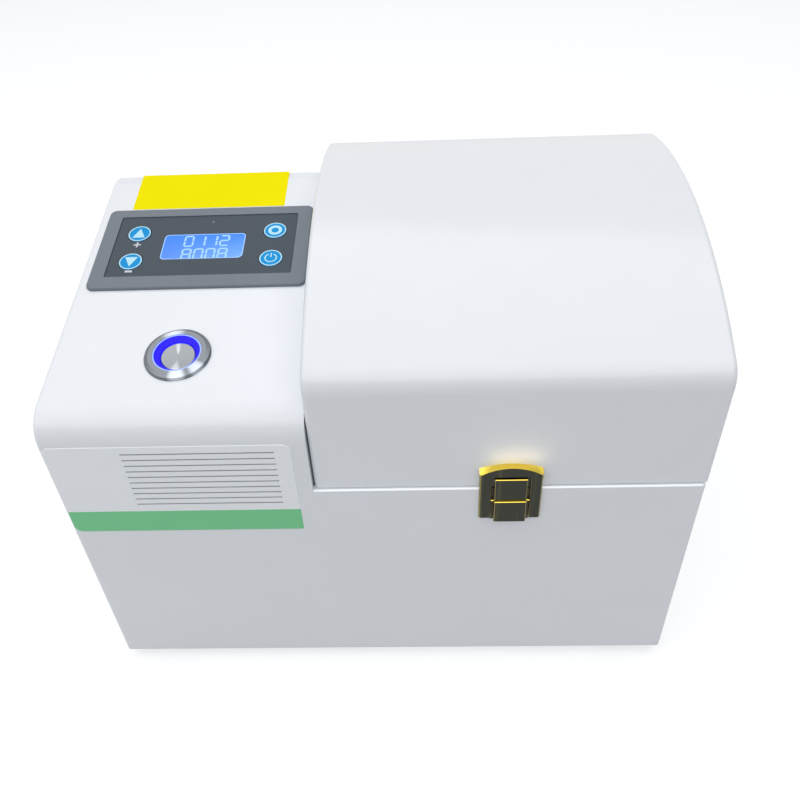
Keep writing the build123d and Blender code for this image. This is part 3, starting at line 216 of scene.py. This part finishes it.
def surface(name, colour, roughness, metallic=0.0, tone=0.05, grain=900.0, relief=0.03, coat=0.0,
            stretch=(1, 1, 1), glow=0.0, specular=0.5):
    """A surface whose tone, roughness and fine relief vary with place."""
    material, graph = new_material(name)
    mottle = graph.spread(graph.noise(MOTTLE_SCALE, MOTTLE_DETAIL), 0.0, 1.0)
    fine = graph.noise(grain, stretch=stretch)
    bump = graph.add("ShaderNodeBump", {"Strength": relief, "Distance": GRAIN_HEIGHT, "Height": fine})
    shader = graph.add("ShaderNodeBsdfPrincipled", {
        "Base Color": graph.blend(mottle, shaded(colour, 1 - tone), shaded(colour, 1 + tone)),
        "Roughness": graph.spread(fine, roughness * 0.85, roughness * 1.15),
        "Normal": bump.outputs["Normal"],
        "Metallic": metallic,
        "Specular IOR Level": specular,
        "Coat Weight": coat,
        "Coat Roughness": COAT_ROUGHNESS,
    })
    if glow:
        shader.inputs["Emission Color"].default_value = colour
        shader.inputs["Emission Strength"].default_value = glow
    graph.end(shader)
    return material


def spun_steel(name, colour, highlight_fans, dark, bright):
    """The start button's steel, turned on a lathe: fine rings round its axis, and highlight fans painted into
    its colour.
    """
    material, graph = new_material(name)
    centre = SLOPE_FRAME @ Vector((*BUTTON_PLACE, 0)) * MM
    coordinates = graph.add("ShaderNodeTexCoord").outputs["Object"]
    offset = graph.vector("SUBTRACT", coordinates, centre).outputs["Vector"]
    outward = graph.vector("NORMALIZE", offset).outputs["Vector"]
    light = 0.0
    for middle, half, gain in highlight_fans:
        direction = (math.cos(math.radians(middle)), math.sin(math.radians(middle)), 0)
        towards = graph.vector("DOT_PRODUCT", outward, direction).outputs["Value"]
        edge = math.cos(math.radians(half * FAN_EDGE))
        heart = math.cos(math.radians(half * FAN_HEART))
        light = graph.reckon("MAXIMUM", light, graph.ramp(towards, edge, heart, 0.0, gain, smooth=True))
    radius = graph.vector("LENGTH", offset).outputs["Value"]
    rings = graph.add("ShaderNodeTexNoise", {"W": radius, "Scale": LATHE_RING_SCALE}, noise_dimensions="1D")
    # Painted highlights: the base colour is brightened inside the fans and darkened outside them
    shader = graph.add("ShaderNodeBsdfPrincipled", {
        "Base Color": graph.blend(light, shaded(colour, dark), shaded(colour, bright)),
        "Roughness": graph.spread(rings.outputs["Fac"], 0.26, 0.4),
        "Tangent": graph.vector("CROSS_PRODUCT", SLOPE_NORMAL, offset).outputs["Vector"],
        "Metallic": 1.0,
        "Anisotropic": 0.5,
    })
    graph.end(shader)
    return material


def plated_gold(name, bright, side, dim):
    """Polished gold plating with painted reflections: its colour is painted bright where it looks up, and
    dim, with streaks, where it mirrors the room before it.
    """
    material, graph = new_material(name)
    facing = graph.split(graph.add("ShaderNodeTexCoord").outputs["Normal"])
    forward = graph.ramp(facing["Y"], *GOLD_FORWARD, smooth=True)
    upward = graph.ramp(facing["Z"], *GOLD_UPWARD, smooth=True)
    reflection_streaks = graph.spread(graph.noise(GOLD_REFLECTION_STREAK_SCALE, 1.0, GOLD_REFLECTION_STREAK_STRETCH), 0.8, 1.25)
    level = graph.blend(graph.reckon("MULTIPLY", forward, reflection_streaks, clamped=True), side, dim)
    shader = graph.add("ShaderNodeBsdfPrincipled", {
        "Base Color": graph.blend(upward, level, bright),
        "Roughness": graph.spread(graph.noise(700.0), 0.12, 0.2),
        "Metallic": 1.0,
    })
    graph.end(shader)
    return material


def lit_window(name, upper, lower_left, lower_right):
    """The display's backlit window, whose blue changes from side to side and from top to bottom."""
    material, graph = new_material(name)
    half = Vector((DISPLAY_WIDTH / 2, DISPLAY_DEPTH / 2, 0))
    middle = Vector((DISPLAY_X, DISPLAY_V, 0))
    low_corner = SLOPE_FRAME @ (middle - half) * MM
    high_corner = SLOPE_FRAME @ (middle + half) * MM
    place = graph.split(graph.place())
    across = graph.ramp(place["X"], low_corner.x, high_corner.x)
    upwards = graph.ramp(place["Y"], low_corner.y, high_corner.y)
    colour = graph.blend(upwards, graph.blend(across, lower_left, lower_right), upper)
    shader = graph.add("ShaderNodeBsdfPrincipled", {
        "Base Color": graph.blend(0.45, (0, 0, 0, 1), colour),
        "Emission Color": colour,
        "Emission Strength": 0.55,
        "Roughness": 0.14,
        "Specular IOR Level": 0.15,
    })
    graph.end(shader)
    return material


SURFACES = {
    "white_shell": dict(colour=srgb(238, 241, 246), roughness=0.22, tone=0.008, relief=0.02, coat=0.35),
    "zinc_steel": dict(colour=srgb(178, 182, 188), roughness=0.34, metallic=1.0),
    "stainless": dict(colour=srgb(205, 206, 208), roughness=0.26, metallic=1.0, tone=0.03, stretch=(1, 9, 1)),
    "black_steel": dict(colour=srgb(38, 38, 40), roughness=0.42, metallic=0.7, tone=0.08),
    "black_rubber": dict(colour=srgb(34, 34, 36), roughness=0.78, tone=0.10, relief=0.25),
    "grey_bezel": dict(colour=srgb(108, 117, 127), roughness=0.4, tone=0.02, relief=0.0, grain=300.0),
    "slate_overlay": dict(colour=srgb(58, 69, 80), roughness=0.42, tone=0.03, relief=0.0, specular=0.3),
    "blue_display": dict(colour=srgb(70, 150, 250), roughness=0.3, tone=0.02, glow=0.3),
    "blue_key": dict(colour=srgb(10, 152, 222), roughness=0.4, tone=0.03, specular=0.15),
    "green_board": dict(colour=srgb(28, 92, 56), roughness=0.4, tone=0.08),
    "black_plastic": dict(colour=srgb(44, 44, 47), roughness=0.5, tone=0.06, relief=0.12),
    "blue_light": dict(colour=srgb(44, 34, 255), roughness=0.45, tone=0.02, glow=0.75, specular=0.1),
    "aluminium": dict(colour=srgb(214, 216, 218), roughness=0.32, metallic=1.0, tone=0.03),
    "motor_black": dict(colour=srgb(46, 47, 50), roughness=0.4, tone=0.06, coat=0.2),
    "knob_black": dict(colour=srgb(40, 40, 43), roughness=0.45, relief=0.12),
    "yellow_film": dict(colour=srgb(255, 242, 16), roughness=0.4, tone=0.01, relief=0.0, specular=0.0),
    # The white film's glow is painted light: it lifts the label a little above the housing
    "white_film": dict(
        colour=srgb(244, 247, 250), roughness=0.5, tone=0.004, relief=0.0, specular=0.3, glow=0.06),
    "green_film": dict(colour=srgb(128, 218, 156), roughness=0.4, tone=0.01, relief=0.0, specular=0.3),
    "rule_grey": dict(colour=srgb(120, 126, 132), roughness=0.4, tone=0.03),
    "key_print": dict(colour=srgb(190, 236, 252), roughness=0.36, tone=0.02),
    "white_print": dict(colour=srgb(206, 212, 220), roughness=0.4, tone=0.02),
    "dim_print": dict(colour=srgb(112, 120, 130), roughness=0.4, tone=0.02),
    "digit_glow": dict(colour=srgb(150, 198, 255), roughness=0.3, tone=0.02, glow=0.3),
    "window_rim": dict(colour=srgb(150, 196, 255), roughness=0.2, tone=0.02, glow=0.2),
    "rim_light": dict(colour=srgb(132, 160, 255), roughness=0.3, tone=0.02, glow=0.8),
    # A dark plate in the latch's gap and a strip in the seam: painted shade
    "latch_shade": dict(colour=srgb(66, 58, 46), roughness=0.4, metallic=0.5, tone=0.1, relief=0.0),
    # Glowing white on the rim under the lid: a painted highlight
    "rim_highlight": dict(colour=srgb(244, 247, 252), roughness=0.25, tone=0.005, relief=0.0, glow=0.25),
}
MATERIALS = {name: surface(name, **finish) for name, finish in SURFACES.items()}
# Painted reflections on the gold: bright where it looks up, a side tone elsewhere, dim where it looks forward
MATERIALS["gold"] = plated_gold("gold", srgb(236, 208, 84), srgb(138, 128, 78), srgb(57, 58, 52))
MATERIALS["clear_window"] = lit_window(
    "clear_window", srgb(52, 138, 250), srgb(92, 148, 255), srgb(124, 184, 255))
# Painted highlight fans on the turned steel: middle, anticlockwise from the right, and half width in degrees,
# gain
HEAD_HIGHLIGHT_FANS = ((106, 22, 1.0), (-42, 11, 0.7), (-82, 12, 0.8))
CAP_HIGHLIGHT_FANS = ((98, 9, 0.7), (-90, 15, 0.8))
MATERIALS["button_steel"] = spun_steel("button_steel", srgb(176, 182, 190), HEAD_HIGHLIGHT_FANS, 0.40, 1.3)
MATERIALS["cap_steel"] = spun_steel("cap_steel", srgb(176, 180, 184), CAP_HIGHLIGHT_FANS, 0.55, 1.2)


def dress(piece, material_name):
    piece.data.materials.clear()
    piece.data.materials.append(MATERIALS[material_name])


for part in frame["record"]["subparts"]:
    dress(frame["nodes"][part["node"]], part["material_slot"])
dress(frame["nodes"]["start_button_cap"], "cap_steel")


# Floor, light and camera
FLOOR_SIZE = 6.0
FLOOR_COLOUR = (0.60, 0.61, 0.62, 1)
FLOOR_LIFT = 0.58
ROOM_COLOUR = (0.95, 0.965, 1.0, 1)
ROOM_LIGHT = 0.235
BROW_COLOUR = (1.0, 0.80, 0.42)


def mesh_object(name, build):
    """A mesh object filled by build(bmesh)."""
    mesh = bpy.data.meshes.new(name)
    shape = bmesh.new()
    build(shape)
    shape.to_mesh(mesh)
    shape.free()
    piece = bpy.data.objects.new(name, mesh)
    bpy.context.scene.collection.objects.link(piece)
    return piece


def seen_directly(graph):
    """1 for camera, glossy and transmission rays, 0 for the rest."""
    path = graph.add("ShaderNodeLightPath").outputs
    direct = graph.reckon("MAXIMUM", path["Is Camera Ray"], path["Is Glossy Ray"])
    return graph.reckon("MAXIMUM", direct, path["Is Transmission Ray"])


def floor_material():
    """A pale floor that keeps the object's shadow, and is lifted towards white where it is seen."""
    material, graph = new_material("floor")
    diffuse = graph.add("ShaderNodeBsdfDiffuse", {"Color": FLOOR_COLOUR})
    strength = graph.reckon("MULTIPLY", seen_directly(graph), FLOOR_LIFT)
    lift = graph.add("ShaderNodeEmission", {"Strength": strength})
    graph.end(graph.add("ShaderNodeAddShader", {0: diffuse.outputs[0], 1: lift.outputs[0]}))
    return material


def add_floor():
    floor = mesh_object("floor", lambda shape: bmesh.ops.create_grid(
        shape, x_segments=1, y_segments=1, size=FLOOR_SIZE))
    MATERIALS["floor"] = floor_material()
    dress(floor, "floor")


def add_world():
    """Plain light from all round, white where it is seen."""
    world = bpy.data.worlds.new("studio")
    bpy.context.scene.world = world
    world.use_nodes = True
    graph = Graph(world.node_tree)
    light = graph.add("ShaderNodeBackground", {"Color": ROOM_COLOUR, "Strength": ROOM_LIGHT})
    white = graph.add("ShaderNodeBackground", {"Color": (1, 1, 1, 1)})
    shaders = {0: seen_directly(graph), 1: light.outputs[0], 2: white.outputs[0]}
    graph.end(graph.add("ShaderNodeMixShader", shaders), "ShaderNodeOutputWorld")


def add_lamp(name, place, target, size, power):
    """A flat lamp of size (width, height) at place, turned to target."""
    lamp = bpy.data.lights.new(name, "AREA")
    lamp.shape = "RECTANGLE"
    lamp.size, lamp.size_y = size
    lamp.energy = power
    holder = bpy.data.objects.new(name, lamp)
    holder.location = place
    holder.rotation_euler = (Vector(target) - Vector(place)).to_track_quat("-Z", "Y").to_euler()
    bpy.context.scene.collection.objects.link(holder)
    return holder


def add_camera():
    """The camera. Its rotation vector turns the world to a view with y down and z forward."""
    camera_data = bpy.data.cameras.new("camera")
    camera_data.lens = LENS_MM
    camera_data.sensor_width = SENSOR_MM
    camera = bpy.data.objects.new("camera", camera_data)
    view_turn = Matrix.Rotation(CAMERA_TURN.length, 3, CAMERA_TURN.normalized())
    flip = Matrix(((1, 0, 0), (0, -1, 0), (0, 0, -1)))
    camera.matrix_world = Matrix.Translation(CAMERA_PLACE) @ (view_turn.transposed() @ flip).to_4x4()
    bpy.context.scene.collection.objects.link(camera)
    bpy.context.scene.camera = camera


add_floor()
add_world()
add_lamp("top_lamp", (-0.1, -0.26, 1.3), (0, 0, 0.1), (2.4, 2.8), 23.5)
add_lamp("left_lamp", (-1.3, -0.7, 0.7), (0, 0, 0.1), (0.8, 0.9), 1.0)
# Warm light that the latch's brow throws back on the lid
brow_glow = add_lamp(
    "brow_glow", (0.0500, -0.0805, 0.1232), (0.0500, -0.0757, 0.1300), (0.018, 0.002), 0.0003)
brow_glow.data.color = BROW_COLOUR
brow_glow.visible_glossy = False
add_camera()
bpy.context.scene.view_settings.view_transform = "Standard"


# Shapes to build with, in millimetres
CORNER_STEPS = 6
RING_STEP = 7.5


def add_piece(name, body, build, place, material_name):
    """A piece built in millimetres in a local frame, put in place and joined to its body."""
    def build_in_place(shape):
        build(shape)
        bmesh.ops.transform(shape, matrix=Matrix.Scale(MM, 4) @ place, verts=shape.verts)
        bmesh.ops.recalc_face_normals(shape, faces=shape.faces)
    piece = mesh_object(name, build_in_place)
    dress(piece, material_name)
    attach(piece, body)
    return piece


def rounded(width, depth, radii, centre=(0, 0)):
    """A rectangle's outline. Its corners have one radius, or four from low left anticlockwise."""
    outline = []
    corners = ((-1, -1, 180), (1, -1, 270), (1, 1, 0), (-1, 1, 90))
    radii = radii if isinstance(radii, tuple) else (radii,) * 4
    for (side_x, side_y, start), radius in zip(corners, radii):
        x = centre[0] + side_x * (width / 2 - radius)
        y = centre[1] + side_y * (depth / 2 - radius)
        steps = CORNER_STEPS if radius else 0
        for i in range(steps + 1):
            angle = math.radians(start + (90 * i / steps if steps else 45))
            outline.append((x + radius * math.cos(angle), y + radius * math.sin(angle)))
    return outline


def closed_line(shape, points):
    """The corners and edges of a closed line through points."""
    corners = [shape.verts.new(point) for point in points]
    return corners, [shape.edges.new(pair) for pair in zip(corners, corners[1:] + corners[:1])]


def push(shape, faces, reach):
    """Thickens faces to a closed body, along reach."""
    pushed = bmesh.ops.extrude_face_region(shape, geom=faces)["geom"]
    corners = [element for element in pushed if isinstance(element, bmesh.types.BMVert)]
    bmesh.ops.translate(shape, vec=reach, verts=corners)


def plate(shape, outline, low, high):
    """A flat plate with the given outline, from low to high."""
    foot = shape.faces.new([shape.verts.new((x, y, low)) for x, y in outline])
    push(shape, [foot], (0, 0, high - low))


def rim_plate(shape, outer, inner, low, high):
    """A flat frame between two outlines of as many points, from low to high."""
    edges = []
    for outline in (outer, inner):
        edges += closed_line(shape, [(x, y, low) for x, y in outline])[1]
    faces = bmesh.ops.bridge_loops(shape, edges=edges)["faces"]
    push(shape, faces, (0, 0, high - low))


def soft_plate(shape, width, depth, radii, centre, thick):
    """A plate with a soft edge: it narrows by its own thickness."""
    edges = []
    for height in (0.0, thick):
        outline = rounded(width - height, depth - height, radii, centre)
        face = shape.faces.new([shape.verts.new((x, y, height)) for x, y in outline])
        edges += face.edges
    bmesh.ops.bridge_loops(shape, edges=edges)


def ring(shape, radii, low, high, centre, start=0.0, end=360.0):
    """A flat ring, or a part of one, with these outer and inner radii, from low to high."""
    outer, inner = radii
    whole = end - start == 360
    middle = Vector((*centre, 0))
    turn = Matrix.Rotation(math.radians(start), 3, "Z")
    section = ((inner, low), (outer, low), (outer, high), (inner, high))
    corners, edges = closed_line(shape, [middle + turn @ Vector((radius, 0, z)) for radius, z in section])
    spun = corners + edges if whole else [shape.faces.new(corners)]
    bmesh.ops.spin(
        shape, geom=spun, cent=middle, axis=(0, 0, 1), angle=math.radians(end - start),
        steps=int((end - start) / RING_STEP), use_merge=whole)


# Stickers, left bare
def build_back_sticker(shape):
    plate(shape, rounded(*BACK_STICKER_SIZE, BACK_STICKER_ROUND, BACK_STICKER_PLACE), 0.0, BACK_STICKER_THICK)


def build_front_sticker(shape):
    middle = (LABEL_X, (LABEL_HIGH + BAND_HIGH) / 2)
    radii = (0, 0, LABEL_ROUND, LABEL_ROUND)
    soft_plate(shape, LABEL_WIDTH, LABEL_HIGH - BAND_HIGH, radii, middle, LABEL_THICK)


def build_band(shape):
    middle = (LABEL_X, (BAND_LOW + BAND_HIGH) / 2)
    radii = (LABEL_ROUND, BAND_RIGHT_ROUND, 0, 0)
    soft_plate(shape, LABEL_WIDTH, BAND_HIGH - BAND_LOW, radii, middle, LABEL_THICK)


def build_rules(shape):
    """Plain ruled lines across the white part."""
    for i in range(RULE_COUNT):
        outline = rounded(RULE_LENGTH, RULE_THICK, RULE_THICK / 3, (RULE_X, FIRST_RULE_Z - i * RULE_PITCH))
        plate(shape, outline, LABEL_THICK - PRINT_SINK, LABEL_THICK + THIN_PRINT_RISE)


add_piece("back_sticker", "housing", build_back_sticker, SLOPE_FRAME, "yellow_film")
add_piece("front_sticker", "housing", build_front_sticker, FRONT_FRAME, "white_film")
add_piece("front_sticker_band", "housing", build_band, FRONT_FRAME, "green_film")
add_piece("front_sticker_rules", "housing", build_rules, FRONT_FRAME, "rule_grey")


# Keys: pale rings and signs
KEY_RING = (4.65, 4.15)
ARROW_SIZE = 2.9
MODE_RING = (2.9, 1.55)
POWER_RING = (2.55, 2.05)
POWER_RING_ENDS = (115, 425)
POWER_BAR = (0.5, 2.5)
POWER_BAR_UP = 1.6
STROKE_ROUND = 0.2
SIGN_LOW = KEY_TOP - PRINT_SINK
SIGN_HIGH = KEY_TOP + PRINT_RISE


def arrow_sign(shape, x, v, tip):
    """A triangle whose tip points up (1) or down (-1)."""
    half = 0.9 * ARROW_SIZE
    foot_v = v - tip * 0.85 * ARROW_SIZE
    tip_v = v + tip * 1.05 * ARROW_SIZE
    plate(shape, [(x - half, foot_v), (x + half, foot_v), (x, tip_v)], SIGN_LOW, SIGN_HIGH)


def up_sign(shape, x, v):
    arrow_sign(shape, x, v, 1)


def down_sign(shape, x, v):
    arrow_sign(shape, x, v, -1)


def mode_sign(shape, x, v):
    ring(shape, MODE_RING, SIGN_LOW, SIGN_HIGH, (x, v))


def power_sign(shape, x, v):
    ring(shape, POWER_RING, SIGN_LOW, SIGN_HIGH, (x, v), *POWER_RING_ENDS)
    plate(shape, rounded(*POWER_BAR, STROKE_ROUND, (x, v + POWER_BAR_UP)), SIGN_LOW, SIGN_HIGH)


KEY_SIGNS = {"key_up": up_sign, "key_down": down_sign, "key_mode": mode_sign, "key_power": power_sign}
for key, sign in KEY_SIGNS.items():
    def build_key_print(shape, place=KEY_PLACES[key], sign=sign):
        ring(shape, KEY_RING, SIGN_LOW, SIGN_HIGH, place)
        sign(shape, *place)
    add_piece(key + "_print", key, build_key_print, SLOPE_FRAME, "key_print")


# Plus, minus and lamp on the keypad sheet
SIGN_LENGTH = 3.0
SIGN_RIGHT = 0.3
SIGN_ROUND = 0.1
PLUS_STROKE = 0.7
PLUS_BELOW = 6.8
MINUS_STROKE = 1.1
MINUS_BELOW = 5.8
LAMP_RING = (0.55, 0.05)
PLUS_UPRIGHT_RISE = 0.01


def build_panel_print(shape):
    """The plus under the key for up, and the minus under the key for down."""
    low, high = OVERLAY_TOP - PRINT_SINK, OVERLAY_TOP + PRINT_RISE
    x, v = KEY_PLACES["key_up"]
    middle = (x + SIGN_RIGHT, v - PLUS_BELOW)
    plate(shape, rounded(SIGN_LENGTH, PLUS_STROKE, SIGN_ROUND, middle), low, high)
    plate(shape, rounded(PLUS_STROKE, SIGN_LENGTH, SIGN_ROUND, middle), low, high + PLUS_UPRIGHT_RISE)
    x, v = KEY_PLACES["key_down"]
    middle = (x + SIGN_RIGHT, v - MINUS_BELOW)
    plate(shape, rounded(SIGN_LENGTH, MINUS_STROKE, SIGN_ROUND, middle), low, high)


def build_lamp(shape):
    """The dark lens of a small lamp over the display."""
    ring(shape, LAMP_RING, OVERLAY_TOP - PRINT_SINK, OVERLAY_TOP + PRINT_RISE, LAMP_PLACE)


add_piece("panel_print", "housing", build_panel_print, SLOPE_FRAME, "white_print")
add_piece("panel_lamp", "housing", build_lamp, SLOPE_FRAME, "dim_print")


# Start button: the bright edge of its light
BUTTON_GLOW_RISE = 0.04


def build_button_glow(shape):
    ring(shape, BUTTON_GLOW, BUTTON_LIP - PRINT_SINK, BUTTON_LIP + BUTTON_GLOW_RISE, BUTTON_PLACE)


button_glow = add_piece("start_button_glow", "housing", build_button_glow, SLOPE_FRAME, "rim_light")


# Display: the window's pale edge, and two rows of plain digits
RIM_INSETS = (0.1, 0.9)
DIGIT_WIDTH = 3.4
DIGIT_HEIGHT = 6.0
DIGIT_PITCH = 4.95
DIGIT_GAP = 0.2
STROKE = 0.82
DIGIT_ROWS = (("0112", 0.2), ("8008", -7.7))
FIRST_DIGIT_X = -8.1
ROW_FLOOR = 0.5
DOT_SIZE = 0.7
DOT_X = 1.95
DOT_ROWS = (-2.6, -5.2)
WINDOW_LOW = LENS_TOP - THIN_PRINT_SINK
WINDOW_HIGH = LENS_TOP + THIN_PRINT_RISE
# The strokes of each digit, lettered clockwise from the top, with g in the middle
SEGMENTS = {"0": "abcdef", "1": "bc", "2": "abged", "8": "abcdefg"}


def build_window_rim(shape):
    """The pale edge inside the display's window."""
    outer, inner = (
        rounded(DISPLAY_WIDTH - inset, DISPLAY_DEPTH - inset, DISPLAY_CORNERS, (DISPLAY_X, DISPLAY_V))
        for inset in RIM_INSETS)
    rim_plate(shape, outer, inner, WINDOW_LOW, WINDOW_HIGH)


def segment(shape, letter, x, v, floor_v):
    """One stroke of a digit whose lower left corner is x, v. Nothing is drawn below floor_v."""
    half = DIGIT_HEIGHT / 2
    across = {"a": DIGIT_HEIGHT, "g": half, "d": 0.0}
    upright = {"b": (DIGIT_WIDTH, half), "f": (0.0, half), "c": (DIGIT_WIDTH, 0.0), "e": (0.0, 0.0)}
    if letter in across:
        if v + across[letter] < floor_v:
            return
        size = (DIGIT_WIDTH - 1.5 * DIGIT_GAP, STROKE)
        middle = (x + DIGIT_WIDTH / 2, v + across[letter])
    else:
        right, up = upright[letter]
        bottom = max(floor_v, v + up + DIGIT_GAP)
        top = v + up + half - DIGIT_GAP
        size = (STROKE, top - bottom)
        middle = (x + right, (top + bottom) / 2)
    plate(shape, rounded(*size, STROKE_ROUND, middle), WINDOW_LOW, WINDOW_HIGH)


def build_digits(shape):
    """Two rows of plain digits and two dots. The window cuts off the foot of the lower row."""
    floor_v = DISPLAY_V - DISPLAY_DEPTH / 2 + ROW_FLOOR
    for text, row_v in DIGIT_ROWS:
        for i, digit in enumerate(text):
            for letter in SEGMENTS[digit]:
                x = DISPLAY_X + FIRST_DIGIT_X + i * DIGIT_PITCH
                segment(shape, letter, x, DISPLAY_V + row_v, floor_v)
    for row_v in DOT_ROWS:
        dot = rounded(DOT_SIZE, DOT_SIZE, STROKE_ROUND, (DISPLAY_X + DOT_X, DISPLAY_V + row_v))
        plate(shape, dot, WINDOW_LOW, WINDOW_HIGH)


window_rim = add_piece("display_rim", "housing", build_window_rim, SLOPE_FRAME, "window_rim")
digits = add_piece("display_digits", "housing", build_digits, SLOPE_FRAME, "digit_glow")


# Latch and seam: painted shade at the foot of the latch's gap and in the seam, and a painted highlight on the
# rim under the lid
GAP_THICK = 0.1
GAP_OVER_SEAM = 0.1
SHADE_THICK = 0.18
SHADE_OUT = 0.05
SHADE_UP = 0.02
RIM_ARC = (160, 100)
RIM_ARC_STEP = 10


def build_gap_plate(shape):
    """Painted shade: a dark plate behind the lever, with a strip of it in the seam under the lid."""
    top = SEAM_Z + GAP_OVER_SEAM
    plate(shape, rounded(GAP_WIDTH, top - GAP_LOW, 0, (LATCH_X, (GAP_LOW + top) / 2)), 0.0, GAP_THICK)
    strip = rounded(GAP_WIDTH, SHADE_THICK, 0, (LATCH_X, SEAM_Z + SHADE_UP))
    plate(shape, strip, -LID_FRONT_DEPTH, SHADE_OUT)


def build_rim(shape):
    """A thin glowing strip over the rounded rim of the box, under the lid's front edge: a painted highlight.
    """
    start, end = RIM_ARC
    angles = list(range(start, end - 1, -RIM_ARC_STEP))
    profile = []
    for radius, turns in ((RIM_ROUND + RIM_THICK / 2, angles), (RIM_ROUND - RIM_THICK / 2, angles[::-1])):
        for angle in turns:
            y = FRONT + RIM_ROUND + radius * math.cos(math.radians(angle))
            z = SEAM_Z - RIM_ROUND + radius * math.sin(math.radians(angle))
            profile.append(shape.verts.new((RIM_LEFT, y, z)))
    push(shape, [shape.faces.new(profile)], (RIM_RIGHT - RIM_LEFT, 0, 0))


gap_plate = add_piece("latch_gap_plate", "housing", build_gap_plate, FRONT_FRAME, "latch_shade")
seam_rim_highlight = add_piece("seam_rim_highlight", "housing", build_rim, Matrix.Identity(4), "rim_highlight")
